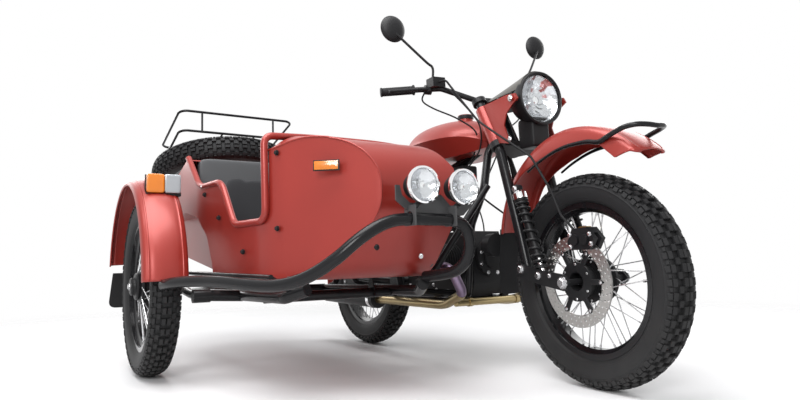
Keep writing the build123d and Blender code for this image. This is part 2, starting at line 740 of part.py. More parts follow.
def main():
    os.makedirs("parts", exist_ok=True)
    one_tyre, one_rim, one_hub = tyre(), rim(), hub()
    steered = {"fork_legs": fork_legs(), "fork_yokes": yokes(), "fork_ears": fork_ears(),
               "headlamp_shell": headlamp_shell(), "headlamp_lens": headlamp_lens(),
               "headlamp_cowl": headlamp_cowl(), "handlebar": handlebar(), "grips": grips(),
               "mirrors": mirrors(), "front_fender": front_fender(), "fender_hoop": fender_hoop(),
               "front_flap": front_flap(), "leading_links": leading_links(),
               "front_shocks": front_shocks(), "front_caliper": front_caliper(),
               "bar_controls": bar_controls(), "brake_hose": brake_hose()}
    front = Pos(WHEELBASE, 0, TYRE_R)
    steered |= {"front_tyre": front * one_tyre, "front_rim": front * one_rim, "front_hub": front * one_hub,
                "front_disc": front * brake_disc(-1)}
    for name, shape in steered.items():
        shapes = shape if isinstance(shape, list) else [shape]
        write(name, [turned_fork(piece) for piece in shapes])
    # wheel's name, its place, its hub with what is bolted to it
    wheels = [("rear", Pos(0, 0, TYRE_R), one_hub + brake_disc(1)),
              ("sidecar", Pos(SIDE_LEAD, -TRACK, TYRE_R), one_hub + brake_disc(1) + hub_cap()),
              ("spare", spare_place(), one_hub)]
    for name, there, whole_hub in wheels:
        write(f"{name}_tyre", there * one_tyre)
        write(f"{name}_rim", there * one_rim)
        write(f"{name}_hub", there * whole_hub)
    still = {"rear_swingarm": rear_swingarm(), "final_drive": final_drive(), "rear_shocks": rear_shocks(),
             "rear_fender": rear_fender(), "tail_lamp": tail_lamp(), "plate_bracket": plate_bracket(),
             "frame_tubes": frame_tubes(), "engine_block": engine_block(), "cylinders": cylinders(),
             "rocker_covers": rocker_covers(), "fuel_tank": fuel_tank(), "seat": seat(),
             "exhaust_headers": exhaust_headers(), "silencers": silencers(), "horn": horn(),
             "sidecar_swingarm": sidecar_swingarm(), "sidecar_fender": sidecar_fender(),
             "sidecar_flap": sidecar_flap(), "fender_lamp": fender_lamp(),
             "sidecar_frame": sidecar_frame(), "sidecar_struts": sidecar_struts(),
             "sidecar_hoop": sidecar_hoop(), "lamp_bracket": lamp_bracket(), "spot_lamps": spot_lamps(),
             "sidecar_body": sidecar_body(), "cockpit_rim": cockpit_rim(), "sidecar_seat": sidecar_seat(),
             "sidecar_backrest": sidecar_backrest(), "trunk_lid": trunk_lid(),
             "luggage_rack": luggage_rack()}
    for name, shape in still.items():
        write(name, shape)


main()
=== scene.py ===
import json
import math

import bmesh
import bpy
import numpy as np
from bpy.props import FloatProperty, FloatVectorProperty, IntProperty, PointerProperty
from mathutils import Matrix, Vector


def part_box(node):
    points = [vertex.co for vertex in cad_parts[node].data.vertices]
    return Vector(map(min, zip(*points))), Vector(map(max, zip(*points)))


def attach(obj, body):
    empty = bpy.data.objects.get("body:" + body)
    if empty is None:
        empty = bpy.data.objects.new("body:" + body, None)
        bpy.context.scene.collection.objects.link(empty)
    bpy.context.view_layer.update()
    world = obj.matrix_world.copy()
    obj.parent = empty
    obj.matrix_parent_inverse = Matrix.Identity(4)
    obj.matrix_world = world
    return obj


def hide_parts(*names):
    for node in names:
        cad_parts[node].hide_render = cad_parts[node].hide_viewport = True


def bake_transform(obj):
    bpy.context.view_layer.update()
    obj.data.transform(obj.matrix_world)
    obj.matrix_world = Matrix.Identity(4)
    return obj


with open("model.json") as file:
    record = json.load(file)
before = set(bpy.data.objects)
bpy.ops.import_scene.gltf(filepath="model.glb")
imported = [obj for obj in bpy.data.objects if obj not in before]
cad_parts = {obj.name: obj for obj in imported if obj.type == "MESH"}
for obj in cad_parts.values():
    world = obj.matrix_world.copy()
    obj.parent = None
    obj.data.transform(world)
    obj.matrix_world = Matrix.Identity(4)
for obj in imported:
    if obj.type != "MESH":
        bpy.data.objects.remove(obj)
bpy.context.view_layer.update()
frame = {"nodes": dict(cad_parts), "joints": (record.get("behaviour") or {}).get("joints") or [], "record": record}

bl_info = {
    "name": "Sidecar Motorcycle",
    "version": (1, 0, 0),
    "blender": (4, 5, 0),
    "location": "3D Viewport > Sidebar > Sidecar",
    "description": "Dresses a sidecar motorcycle's frame with tyres, spokes, lamps, pads and paint",
    "category": "Object",
}

# The working frame: mm, X forward, Y left, Z up, from the ground under the rear axle
REAR_LOW, REAR_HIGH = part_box("rear_rim")
GROUND = np.array([(REAR_LOW.x + REAR_HIGH.x) / 2, (REAR_LOW.y + REAR_HIGH.y) / 2, 0.0])
MM = 0.001
WHEELBASE = 1500
TRACK = 1160
SIDE_LEAD = 255
TYRE_R = 350
SPOKES_A_SIDE = 20
SPOKE_LEAN = 24
RIM_BORE = 223

# Steering: the fork's axis, and how far it is turned where it rests
STEERING = next(joint for joint in frame["joints"] if joint["name"] == "steering")
STEER_POINT = (np.array(STEERING["pos_m"]) - GROUND) / MM
STEER_AXIS = np.array(STEERING["axis"])
STEER_REST = -4.5

# How many steps the pads' cloth settles over
CLOTH_STEPS = 20

# The lamps: the middle of each one's face
HEADLAMP_PLACE = (1300, 0, 1005)
SPOT_PLACES = [(1392, -605, 650), (1392, -454, 650)]
TAIL_PLACE = (-360, 0, 545)

# The spare wheel on the lid
SPARE_CENTRE = (-275, -708, 903)
LID_SLOPE = 15

# The camera, as it stood before the vehicle: mm in the working frame, and degrees
CAMERA_PLACE = (2859, -1627, 428)
CAMERA_YAW = 147.44
CAMERA_PITCH = 5.675
CAMERA_ROLL = 1.33

# The point in metres that the studio's lamps face
LAMP_TARGET = np.array([0, 0, 0.5])


# Turning and placing
def rotation(axis, degrees):
    """The matrix that turns about an axis: the axis keeps its share, and the rest turns by cosine and sine."""
    x, y, z = np.array(axis, float) / np.linalg.norm(axis)
    cross = np.array([[0, -z, y], [z, 0, -x], [-y, x, 0]])
    angle = math.radians(degrees)
    return np.eye(3) + math.sin(angle) * cross + (1 - math.cos(angle)) * cross @ cross


def frames_along(axes, hint=(0, 0, 1)):
    """One 3 by 3 frame per axis: Z lies along it, Y is square to it and the hint, and X is square to both."""
    z = np.atleast_2d(np.array(axes, float))
    z = z / np.linalg.norm(z, axis=1, keepdims=True)
    guide = np.broadcast_to(np.array(hint, float), z.shape)
    along = np.abs((z * guide).sum(1, keepdims=True)) > 0.97 * np.linalg.norm(guide, axis=1, keepdims=True)
    guide = np.where(along, np.array([1.0, 0.0, 0.0]), guide)
    y = np.cross(z, guide)
    y = y / np.linalg.norm(y, axis=1, keepdims=True)
    x = np.cross(y, z)
    return np.stack([x, y, z], axis=2)


def moved(shape, place=(0, 0, 0), turn=None):
    """A shape turned by a matrix and then moved."""
    points, quads = shape
    if turn is not None:
        points = points @ np.asarray(turn).T
    return points + np.array(place, float), quads


def repeated(shape, places, frames=None, scales=None):
    """One shape set at many places: each copy's points are its frame times the scaled points, plus its place."""
    points, quads = shape
    places = np.atleast_2d(np.array(places, float))
    count = len(places)
    frames = np.broadcast_to(np.eye(3) if frames is None else frames, (count, 3, 3))
    scales = np.ones((count, 3)) if scales is None else np.broadcast_to(np.asarray(scales, float), (count, 3))
    local = points[None] * scales[:, None]
    copies = np.einsum("nij,nkj->nki", frames, local) + places[:, None]
    steps = (np.arange(count) * len(points))[:, None, None]
    return copies.reshape(-1, 3), (quads[None] + steps).reshape(-1, 4)


def joined(*shapes):
    """Several shapes as one."""
    points = np.concatenate([shape[0] for shape in shapes])
    starts = np.cumsum([0] + [len(shape[0]) for shape in shapes[:-1]])
    quads = np.concatenate([shape[1] + start for shape, start in zip(shapes, starts)])
    return points, quads


def along_y(shape, place=(0, 0, 0), side=1):
    """A shape made round Z, laid so that its Z points along Y, to one side."""
    turn = rotation((1, 0, 0), -90 * side)
    return moved(shape, place, turn)


def along(shape, start, direction, hint=(0, 0, 1)):
    """A shape made round Z, stood at a point with its Z along a direction."""
    return moved(shape, start, frames_along(direction, hint)[0])


def mirrored(shape):
    """The same shape on the other side of the motorcycle."""
    points, quads = shape
    return points * np.array([1, -1, 1]), quads[:, ::-1]


def both(shape):
    """A shape and its twin on the other side."""
    return joined(shape, mirrored(shape))


# Making surfaces
def grid(points, wrap_rows=False, wrap_columns=False):
    """A grid of points as quads: each joins a point to the next along, the next across and the one between."""
    rows, columns = points.shape[:2]
    a, b = np.meshgrid(np.arange(rows - (not wrap_rows)), np.arange(columns - (not wrap_columns)), indexing="ij")
    down, right = (a + 1) % rows, (b + 1) % columns
    quads = np.stack([a * columns + b, a * columns + right, down * columns + right, down * columns + b], -1)
    return points.reshape(-1, 3).astype(float), quads.reshape(-1, 4)


def lathe(outline, sides=48, closed=False):
    """A surface of revolution: radius times cosine and sine of the turn, at the outline's height."""
    outline = np.array(outline, float)
    turn = np.linspace(0, 2 * math.pi, sides, endpoint=False)
    radius, height = outline[:, :1], outline[:, 1:]
    points = np.stack([radius * np.cos(turn), radius * np.sin(turn), height + 0 * turn], -1)
    return grid(points, wrap_rows=closed, wrap_columns=True)


def flowing(points, steps=8, closed=False):
    """A smooth line through points: each span mixes the four points round it with cubic weights."""
    p = np.array(points, float)
    if closed:
        padded = np.vstack([p[-1], p, p[0], p[1]])
    else:
        padded = np.vstack([2 * p[0] - p[1], p, 2 * p[-1] - p[-2]])
    t = np.linspace(0, 1, steps, endpoint=False)[None, :, None]
    a, b, c, d = (padded[k:len(padded) - 3 + k][:, None] for k in range(4))
    spans = 0.5 * (2 * b + (c - a) * t + (2 * a - 5 * b + 4 * c - d) * t**2 + (3 * b - a - 3 * c + d) * t**3)
    line = spans.reshape(-1, p.shape[1])
    return line if closed else np.vstack([line, p[-1]])


def rounded(corners, radius, steps=6, closed=True):
    """An outline with its corners rounded: each bend runs from side to side on a curve pulled to the corner."""
    p = np.array(corners, float)
    before, after = np.roll(p, 1, 0) - p, np.roll(p, -1, 0) - p
    reach = np.minimum(np.linalg.norm(before, axis=1), np.linalg.norm(after, axis=1)) * 0.48
    bend = np.minimum(np.broadcast_to(radius, len(p)), reach)[:, None]
    start = p + before / np.linalg.norm(before, axis=1, keepdims=True) * bend
    end = p + after / np.linalg.norm(after, axis=1, keepdims=True) * bend
    t = np.linspace(0, 1, steps)[None, :, None]
    curve = start[:, None] * (1 - t) ** 2 + 2 * p[:, None] * t * (1 - t) + end[:, None] * t**2
    if closed:
        return curve.reshape(-1, p.shape[1])
    return np.vstack([p[:1], curve[1:-1].reshape(-1, p.shape[1]), p[-1:]])


def tube(route, radius, sides=12, closed=False):
    """A round bar along a route: the route's point plus the radius times cosine and sine along two normals."""
    route = np.array(route, float)
    tangent = np.roll(route, -1, 0) - np.roll(route, 1, 0)
    if not closed:
        tangent[0] = route[1] - route[0]
        tangent[-1] = route[-1] - route[-2]
    tangent /= np.linalg.norm(tangent, axis=1, keepdims=True)
    flat = np.linalg.svd(tangent, full_matrices=False)[2][-1]
    normal = np.cross(tangent, flat)
    normal /= np.linalg.norm(normal, axis=1, keepdims=True)
    other = np.cross(tangent, normal)
    radius = np.broadcast_to(radius, len(route))[:, None, None]
    turn = np.linspace(0, 2 * math.pi, sides, endpoint=False)[None, :, None]
    points = route[:, None] + radius * (np.cos(turn) * normal[:, None] + np.sin(turn) * other[:, None])
    if not closed:
        first = np.repeat(route[:1], sides, 0)[None]
        last = np.repeat(route[-1:], sides, 0)[None]
        points = np.concatenate([first, points, last])
    return grid(points, wrap_rows=closed, wrap_columns=True)


def rods(starts, ends, radius, sides=8):
    """Many straight round bars, each between a start and an end."""
    starts, ends = np.atleast_2d(np.array(starts, float)), np.atleast_2d(np.array(ends, float))
    length = np.linalg.norm(ends - starts, axis=1)
    unit = lathe([(0, 0), (1, 0), (1, 1), (0, 1)], sides)
    scales = np.stack([np.full(len(length), radius), np.full(len(length), radius), length], 1)
    return repeated(unit, starts, frames_along(ends - starts), scales)


def chamfered(chamfer=0.15):
    """A block one unit long each way, standing on Z 0, with its top edges cut back."""
    ring = np.array([(1, 1), (-1, 1), (-1, -1), (1, -1)]) / 2
    inset = ring * (1 - chamfer)
    rows = [np.c_[ring * 0, np.zeros(4)], np.c_[ring, np.zeros(4)], np.c_[ring, np.full(4, 1 - chamfer)],
            np.c_[inset, np.ones(4)], np.c_[ring * 0, np.ones(4)]]
    return grid(np.array(rows), wrap_columns=True)


def slab(outline, y0, y1):
    """A plate from an outline of (x, z) points between two values of y, closed to its middle on both faces."""
    outline = np.array(outline, float)
    middle = np.repeat(outline.mean(0)[None], len(outline), 0)
    rows = [(middle, y0), (outline, y0), (outline, y1), (middle, y1)]
    points = np.array([np.c_[ring[:, 0], np.full(len(ring), y), ring[:, 1]] for ring, y in rows])
    return grid(points, wrap_columns=True)


def pillow(low, high, power=0.35, count=28):
    """A box with full round edges: cosine and sine of two turns, each raised to a small power."""
    across = np.linspace(0, 2 * math.pi, count * 2, endpoint=False)[None, :]
    up = np.linspace(-math.pi / 2, math.pi / 2, count)[:, None]
    squared = lambda wave: np.sign(wave) * np.abs(wave) ** power
    unit = np.stack([squared(np.cos(up)) * squared(np.cos(across)), squared(np.cos(up)) * squared(np.sin(across)),
                     squared(np.sin(up)) + 0 * across], -1)
    low, high = np.array(low, float), np.array(high, float)
    return grid((low + high) / 2 + unit * (high - low) / 2, wrap_columns=True)


def bolts(places, axes, radius=6, height=5):
    """Hexagon heads on round washers."""
    head = lathe([(0, 0.3), (1, 0.3), (1, 0.85), (0.86, 1), (0, 1)], 6)
    washer = lathe([(0, 0), (1.35, 0), (1.35, 0.3), (0, 0.3)], 14)
    return repeated(joined(head, washer), places, frames_along(axes), (radius, radius, height))


# Putting pieces into the scene
def steered(shape):
    """A fork shape drawn straight ahead, turned to where the steering rests."""
    turn = rotation(STEER_AXIS, STEER_REST)
    points, quads = shape
    return (points - STEER_POINT) @ turn.T + STEER_POINT, quads


def build(name, shape, body, slot, stands_for=(), sharp=32, bevel=0.0, close=True, sheet=0.0, look=None):
    """An object from a shape in mm: merged, faces outwards, smooth up to a sharp angle, and riding on a body. It has
    its slot's finish, unless another look is given."""
    points, quads = shape
    mesh = bpy.data.meshes.new(name)
    mesh.from_pydata((points * MM + GROUND).tolist(), [], quads.tolist())
    tidy = bmesh.new()
    tidy.from_mesh(mesh)
    bmesh.ops.remove_doubles(tidy, verts=tidy.verts, dist=2e-6)
    if close:
        bmesh.ops.recalc_face_normals(tidy, faces=tidy.faces)
    tidy.to_mesh(mesh)
    tidy.free()
    mesh.shade_smooth()
    mesh.set_sharp_from_angle(angle=math.radians(sharp))
    mesh.materials.append(finish(look or SLOT_FINISH[slot]))
    piece = bpy.data.objects.new(name, mesh)
    bpy.context.scene.collection.objects.link(piece)
    if sheet:
        wall = piece.modifiers.new("Sheet Metal", "SOLIDIFY")
        wall.thickness = sheet * MM
        wall.offset = 0
    if bevel:
        edge = piece.modifiers.new("Rounded Edges", "BEVEL")
        edge.width = bevel * MM
        edge.segments = 2
        edge.limit_method = "ANGLE"
        edge.harden_normals = True
    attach(piece, body)
    if stands_for:
        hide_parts(*stands_for)
    return piece


# Effects shared by the materials
def group(name, inputs, outputs):
    """A new shader node group with named sockets, and its input and output nodes."""
    tree = bpy.data.node_groups.new(name, "ShaderNodeTree")
    for label, kind, default in inputs:
        socket = tree.interface.new_socket(name=label, in_out="INPUT", socket_type="NodeSocket" + kind)
        if default is not None:
            socket.default_value = default
    for label, kind in outputs:
        tree.interface.new_socket(name=label, in_out="OUTPUT", socket_type="NodeSocket" + kind)
    return tree, tree.nodes.new("NodeGroupInput").outputs, tree.nodes.new("NodeGroupOutput").inputs


def add(tree, kind, values=None, **settings):
    """A new shader node with its settings, and with values on its input sockets."""
    node = tree.nodes.new("ShaderNode" + kind)
    for name, value in settings.items():
        setattr(node, name, value)
    for socket, value in (values or {}).items():
        node.inputs[socket].default_value = value
    return node


def wire(tree, *pairs):
    """Links each output to its input."""
    for source, target in pairs:
        tree.links.new(source, target)


def tone_drift():
    """Slow changes of tone: a colour is mixed towards its darker and lighter self by soft noise."""
    tree, given, result = group("Tone Drift", [
        ("Vector", "Vector", None), ("Colour", "Color", (0.5, 0.5, 0.5, 1)), ("Scale", "Float", 6.0),
        ("Amount", "Float", 0.2), ("Roughness", "Float", 0.5), ("Roughness Amount", "Float", 0.1)],
        [("Colour", "Color"), ("Roughness", "Float")])
    noise = add(tree, "TexNoise", {"Detail": 6})
    shift = add(tree, "Math", {1: 0.5}, operation="SUBTRACT")
    share = add(tree, "Math", operation="MULTIPLY")
    bright = add(tree, "Math", {1: 2, 2: 1}, operation="MULTIPLY_ADD")
    value = add(tree, "HueSaturation")
    rough = add(tree, "Math", operation="MULTIPLY_ADD")
    wire(tree, (given["Vector"], noise.inputs["Vector"]), (given["Scale"], noise.inputs["Scale"]),
         (noise.outputs["Fac"], shift.inputs[0]), (shift.outputs[0], share.inputs[0]),
         (given["Amount"], share.inputs[1]), (share.outputs[0], bright.inputs[0]),
         (bright.outputs[0], value.inputs["Value"]), (given["Colour"], value.inputs["Color"]),
         (shift.outputs[0], rough.inputs[0]), (given["Roughness Amount"], rough.inputs[1]),
         (given["Roughness"], rough.inputs[2]), (value.outputs["Color"], result["Colour"]),
         (rough.outputs[0], result["Roughness"]))
    return tree


def fine_grain():
    """Small raised grain: the height mixes fine noise with the distance in small cells."""
    tree, given, result = group("Fine Grain", [
        ("Vector", "Vector", None), ("Scale", "Float", 400.0), ("Cells", "Float", 0.3)], [("Height", "Float")])
    noise = add(tree, "TexNoise", {"Detail": 3})
    cells = add(tree, "TexVoronoi", feature="SMOOTH_F1")
    mix = add(tree, "Mix")
    for source in (noise, cells):
        wire(tree, (given["Vector"], source.inputs["Vector"]), (given["Scale"], source.inputs["Scale"]))
    wire(tree, (given["Cells"], mix.inputs["Factor"]), (noise.outputs["Fac"], mix.inputs["A"]),
         (cells.outputs["Distance"], mix.inputs["B"]), (mix.outputs["Result"], result["Height"]))
    return tree


def road_dust():
    """Pale dust that thins with height above the road and breaks up in soft noise."""
    tree, given, result = group("Road Dust", [
        ("Vector", "Vector", None), ("Colour", "Color", (0.5, 0.5, 0.5, 1)),
        ("Dust", "Color", (0.30, 0.29, 0.27, 1)), ("Reach", "Float", 0.5), ("Amount", "Float", 0.2)],
        [("Colour", "Color")])
    split = add(tree, "SeparateXYZ")
    fall = add(tree, "MapRange", {"From Min": 0, "To Min": 1, "To Max": 0})
    noise = add(tree, "TexNoise", {"Scale": 14, "Detail": 8})
    patch = add(tree, "Math", operation="MULTIPLY")
    share = add(tree, "Math", operation="MULTIPLY")
    mix = add(tree, "Mix", data_type="RGBA")
    wire(tree, (given["Vector"], split.inputs[0]), (split.outputs["Z"], fall.inputs["Value"]),
         (given["Reach"], fall.inputs["From Max"]), (given["Vector"], noise.inputs["Vector"]),
         (noise.outputs["Fac"], patch.inputs[0]), (fall.outputs["Result"], patch.inputs[1]),
         (patch.outputs[0], share.inputs[0]), (given["Amount"], share.inputs[1]),
         (share.outputs[0], mix.inputs["Factor"]), (given["Colour"], mix.inputs[6]),
         (given["Dust"], mix.inputs[7]), (mix.outputs[2], result["Colour"]))
    return tree


GROUPS = {}
FINISHES = {}

# How strongly black finishes mirror, and how soft every clear coat is
BLACK_SPECULAR = 0.2
COAT_ROUGHNESS = 0.22

# name, colour, metallic, roughness, coat, drift, rough drift, grain scale, cells, grain depth in mm, dust
FINISH_TABLE = [
    ("satin_red", (0.27, 0.022, 0.015), 0.30, 0.38, 0.20, 0.10, 0.06, 900, 0.5, 0.012, 0.02),
    ("frame_black", (0.008, 0.008, 0.009), 0.0, 0.24, 0.0, 0.25, 0.08, 500, 0.4, 0.015, 0.03),
    ("casting_black", (0.011, 0.011, 0.012), 0.1, 0.42, 0.0, 0.3, 0.14, 700, 0.5, 0.05, 0.04),
    ("engine_black", (0.013, 0.013, 0.014), 0.1, 0.46, 0.0, 0.3, 0.16, 650, 0.6, 0.07, 0.05),
    ("moulded_black", (0.012, 0.012, 0.013), 0.0, 0.48, 0.0, 0.25, 0.10, 900, 0.8, 0.05, 0.03),
    ("soft_black", (0.010, 0.010, 0.011), 0.0, 0.62, 0.0, 0.3, 0.1, 600, 0.3, 0.04, 0.05),
    ("tyre_rubber", (0.014, 0.014, 0.015), 0.0, 0.58, 0.0, 0.35, 0.14, 450, 0.4, 0.09, 0.07),
    ("gloss_rim", (0.006, 0.006, 0.007), 0.0, 0.14, 0.4, 0.2, 0.05, 400, 0.2, 0.01, 0.01),
    ("zinc_steel", (0.62, 0.62, 0.63), 1.0, 0.27, 0.0, 0.12, 0.14, 900, 0.2, 0.015, 0.06),
    ("ground_steel", (0.64, 0.63, 0.61), 1.0, 0.30, 0.0, 0.12, 0.16, 700, 0.1, 0.02, 0.0),
    ("bronze_steel", (0.42, 0.33, 0.17), 1.0, 0.33, 0.0, 0.35, 0.16, 300, 0.3, 0.03, 0.12),
    ("polished_chrome", (0.86, 0.86, 0.87), 1.0, 0.07, 0.0, 0.04, 0.05, 300, 0.1, 0.004, 0.0),
    ("dark_vinyl", (0.034, 0.035, 0.038), 0.0, 0.52, 0.0, 0.25, 0.10, 620, 0.85, 0.12, 0.0),
    ("amber_lens", (0.60, 0.17, 0.008), 0.0, 0.12, 0.5, 0.2, 0.04, 120, 0.9, 0.10, 0.0),
    ("red_lens", (0.50, 0.01, 0.012), 0.0, 0.12, 0.5, 0.2, 0.04, 120, 0.9, 0.10, 0.0),
    ("bright_reflector", (0.66, 0.67, 0.69), 1.0, 0.13, 0.0, 0.05, 0.05, 200, 0.2, 0.01, 0.0),
    ("gold_anodised", (0.55, 0.36, 0.10), 1.0, 0.28, 0.0, 0.1, 0.1, 500, 0.2, 0.01, 0.0),
    ("bracket_grey", (0.06, 0.06, 0.062), 0.2, 0.42, 0.1, 0.2, 0.1, 700, 0.4, 0.03, 0.06),
    ("clear_lens", (0.34, 0.36, 0.38), 0.3, 0.10, 0.6, 0.2, 0.04, 120, 0.9, 0.10, 0.0),
    ("heated_purple", (0.20, 0.15, 0.22), 0.9, 0.34, 0.0, 0.5, 0.16, 300, 0.3, 0.03, 0.08),
    ("hood_olive", (0.055, 0.052, 0.045), 0.1, 0.38, 0.2, 0.2, 0.1, 800, 0.5, 0.03, 0.0),
    ("cockpit_grey", (0.060, 0.063, 0.067), 0.0, 0.62, 0.0, 0.3, 0.12, 420, 0.6, 0.08, 0.0),
]


def finish(name):
    """A material from the finish table: tone drift and dust in the colour, fine grain in the normal."""
    if name in FINISHES:
        return FINISHES[name]
    material = FINISHES[name] = bpy.data.materials.new(name)
    material.use_nodes = True
    shader = material.node_tree.nodes["Principled BSDF"]
    if name == "clear_glass":
        values = {"Base Color": (0.97, 0.98, 0.98, 1), "Roughness": 0.02, "Transmission Weight": 1, "IOR": 1.3}
    else:
        values = finish_nodes(material.node_tree, shader, name)
    for socket, value in values.items():
        shader.inputs[socket].default_value = value
    return material


def finish_nodes(tree, shader, name):
    """Wires a finish's effects to its shader, and gives the values of the shader's other sockets."""
    if not GROUPS:
        GROUPS.update(tone=tone_drift(), grain=fine_grain(), dust=road_dust())
    row = next(entry for entry in FINISH_TABLE if entry[0] == name)
    colour, metallic, roughness, coat, drift, rough_drift, scale, cells, depth, dust = row[1:]
    if name == "satin_red":
        colour = tuple(bpy.context.scene.sidecar_paint.red)
    place = add(tree, "TexCoord")
    tone = add(tree, "Group", node_tree=GROUPS["tone"])
    grime = add(tree, "Group", node_tree=GROUPS["dust"])
    grain = add(tree, "Group", node_tree=GROUPS["grain"])
    for effect, values in [(tone, {"Colour": (*colour, 1), "Amount": drift, "Roughness": roughness,
                                   "Roughness Amount": rough_drift}),
                           (grime, {"Amount": dust}), (grain, {"Scale": scale, "Cells": cells})]:
        wire(tree, (place.outputs["Object"], effect.inputs["Vector"]))
        for socket, value in values.items():
            effect.inputs[socket].default_value = value
    bump = add(tree, "Bump", {"Distance": depth * MM})
    wire(tree, (tone.outputs["Colour"], grime.inputs["Colour"]),
         (grime.outputs["Colour"], shader.inputs["Base Color"]),
         (tone.outputs["Roughness"], shader.inputs["Roughness"]),
         (grain.outputs["Height"], bump.inputs["Height"]),
         (bump.outputs["Normal"], shader.inputs["Normal"]))
    values = {"Metallic": metallic, "Coat Weight": coat, "Coat Roughness": COAT_ROUGHNESS}
    if metallic < 0.2 and max(colour) < 0.05:
        values["Specular IOR Level"] = BLACK_SPECULAR
    return values


# The record's slots, and the finish that each one gets on the frame's own nodes
SLOT_FINISH = {
    "red_paint": "satin_red", "black_frame": "frame_black", "black_metal": "casting_black",
    "engine_black": "engine_black", "black_plastic": "moulded_black", "black_rubber": "soft_black",
    "tyre": "tyre_rubber", "black_rim": "gloss_rim", "bright_steel": "zinc_steel", "disc_steel": "ground_steel",
    "bronze_pipe": "bronze_steel", "chrome": "polished_chrome", "seat_leather": "dark_vinyl",
    "lamp_glass": "bright_reflector", "lamp_amber": "amber_lens", "lamp_red": "red_lens",
}

# Nodes whose finish differs from their slot's
NODE_FINISH = {"brake_hose": "soft_black", "headlamp_cowl": "hood_olive", "lamp_bracket": "bracket_grey"}


# Wheels, made round Z at the origin
def knob_rows(sizes):
    """Tread blocks: rows round the tyre on both sides, each block stood on the casing and tilted outwards."""
    # y, tilt from the crown, top radius, length along, width across, height, phase in pitches
    table = [(9.2, 7, 349.4, 24, 14, 14, 0.0), (26.5, 18, 345.8, 20, 13, 14, 0.5),
             (42.5, 34, 338.4, 23, 13, 13, 0.0), (51.8, 66, 325.5, 18, 15, 9, 0.0), (50.8, 62, 329.0, 11, 9, 7, 0.5)]
    pitch = 2 * math.pi / sizes.knob_pitches
    rows = []
    for y, tilt, top, length, width, height, phase in table:
        angle = (np.arange(sizes.knob_pitches) + phase) * pitch
        out = np.stack([np.cos(angle), np.sin(angle), 0 * angle], 1)
        forward = np.stack([-np.sin(angle), np.cos(angle), 0 * angle], 1)
        lean = math.radians(tilt)
        for side in (1, -1):
            up = out * math.cos(lean) + np.array([0, 0, side * math.sin(lean)])
            across = np.cross(up, forward)
            base = out * top + np.array([0, 0, side * y]) - up * height
            frames = np.stack([forward, across, up], axis=2)
            rows.append(repeated(chamfered(0.14), base, frames, (length, width, height)))
    return joined(*rows)


def carcass():
    """The tyre's casing: a smooth section from bead to bead, with rings on the wall, turned round the axle."""
    half = [(250, 31), (256, 35), (262, 43), (268, 45.2), (270, 46.6), (273, 46.8), (275, 47.6), (290, 50),
            (304, 50.4), (306, 51.2), (309, 51.2), (311, 50.2), (322, 47.4), (331, 41), (335, 29), (337.5, 14),
            (338, 0)]
    section = flowing(half, 3)
    outer = np.vstack([section, (section * [1, -1])[-2::-1]])
    ring = np.vstack([outer, [(243, -31), (243, 31)]])
    return lathe(ring, 96, closed=True)


def spokes(radius=1.9):
    """Crossed spokes from each flange to the rim, twenty a side, and their nipples."""
    starts, ends = [], []
    for side in (1, -1):
        count = np.arange(SPOKES_A_SIDE)
        angle = np.radians(360 / SPOKES_A_SIDE * (count + 0.25 * side))
        lean = np.radians(np.where(count % 2, SPOKE_LEAN, -SPOKE_LEAN))
        flange = 31 * side + np.where(count % 2, 4, -4)
        starts.append(np.stack([66 * np.cos(angle), -66 * np.sin(angle), flange], 1))
        reach = RIM_BORE + 4
        ends.append(np.stack([reach * np.cos(angle + lean), -reach * np.sin(angle + lean), 0 * angle + 7 * side], 1))
    starts, ends = np.concatenate(starts), np.concatenate(ends)
    run = (ends - starts) / np.linalg.norm(ends - starts, axis=1, keepdims=True)
    nipple = lathe([(0, 0), (2.4, 0), (3.2, 3), (3.2, 16), (0, 16)], 8)
    heads = repeated(lathe([(0, 0), (4, 0), (4, 1.6), (2, 3), (0, 3)], 10), starts - run * 2,
                     frames_along(np.stack([0 * run[:, 0], 0 * run[:, 0], np.sign(starts[:, 2])], 1)))
    return joined(rods(starts, ends, radius), repeated(nipple, ends - run * 16, frames_along(run)), heads)


def hub_barrel():
    """The hub: a waisted barrel, two flanges with rolled edges and a bearing carrier at each end."""
    half = [(12, 45), (24, 45), (26, 42), (38, 42), (40, 45), (50, 45), (51, 42), (50, 38), (70, 36), (73, 33),
            (73, 29), (70, 26), (48, 22), (40, 16), (38, 6)]
    ring = half + [(r, -y) for r, y in reversed(half)]
    return lathe(ring, 48, closed=True)


def drilled_ring(inner, outer, half, rows, count, hole):
    """A flat ring with staggered holes: each cell runs from its square edge to its hole, on both faces."""
    turn = np.linspace(0, 2 * math.pi, 16, endpoint=False)
    circle = np.stack([np.cos(turn), np.sin(turn)], 1)
    square = circle / np.abs(circle).max(1, keepdims=True)
    band = (outer - inner) / rows
    cells = []
    for row in range(rows):
        middle = inner + (row + 0.5) * band
        width = math.pi / count * middle
        inside = circle * hole / np.array([band / 2, width])
        loops = [(square, half), (inside, half), (inside, -half), (square, -half)]
        for cell in range(count):
            start = 2 * math.pi / count * (cell + row / rows)
            rings = []
            for loop, height in loops:
                radius = middle + loop[:, 0] * band / 2
                angle = start + loop[:, 1] * math.pi / count
                rings.append(np.stack([radius * np.cos(angle), radius * np.sin(angle), 0 * angle + height], 1))
            cells.append(grid(np.array(rings), wrap_columns=True))
    edges = [lathe([(outer, -half), (outer, half)], 96), lathe([(inner, half), (inner, -half)], 96)]
    return joined(*cells, *edges)


def spider(offset=0.0):
    """Six directions out from the hub, the axle's direction for each, and an offset in radians."""
    angle = np.radians(np.arange(6) * 60)
    out = np.stack([np.cos(angle + offset), np.sin(angle + offset), 0 * angle], 1)
    return out, np.tile([0.0, 0.0, 1.0], (6, 1))


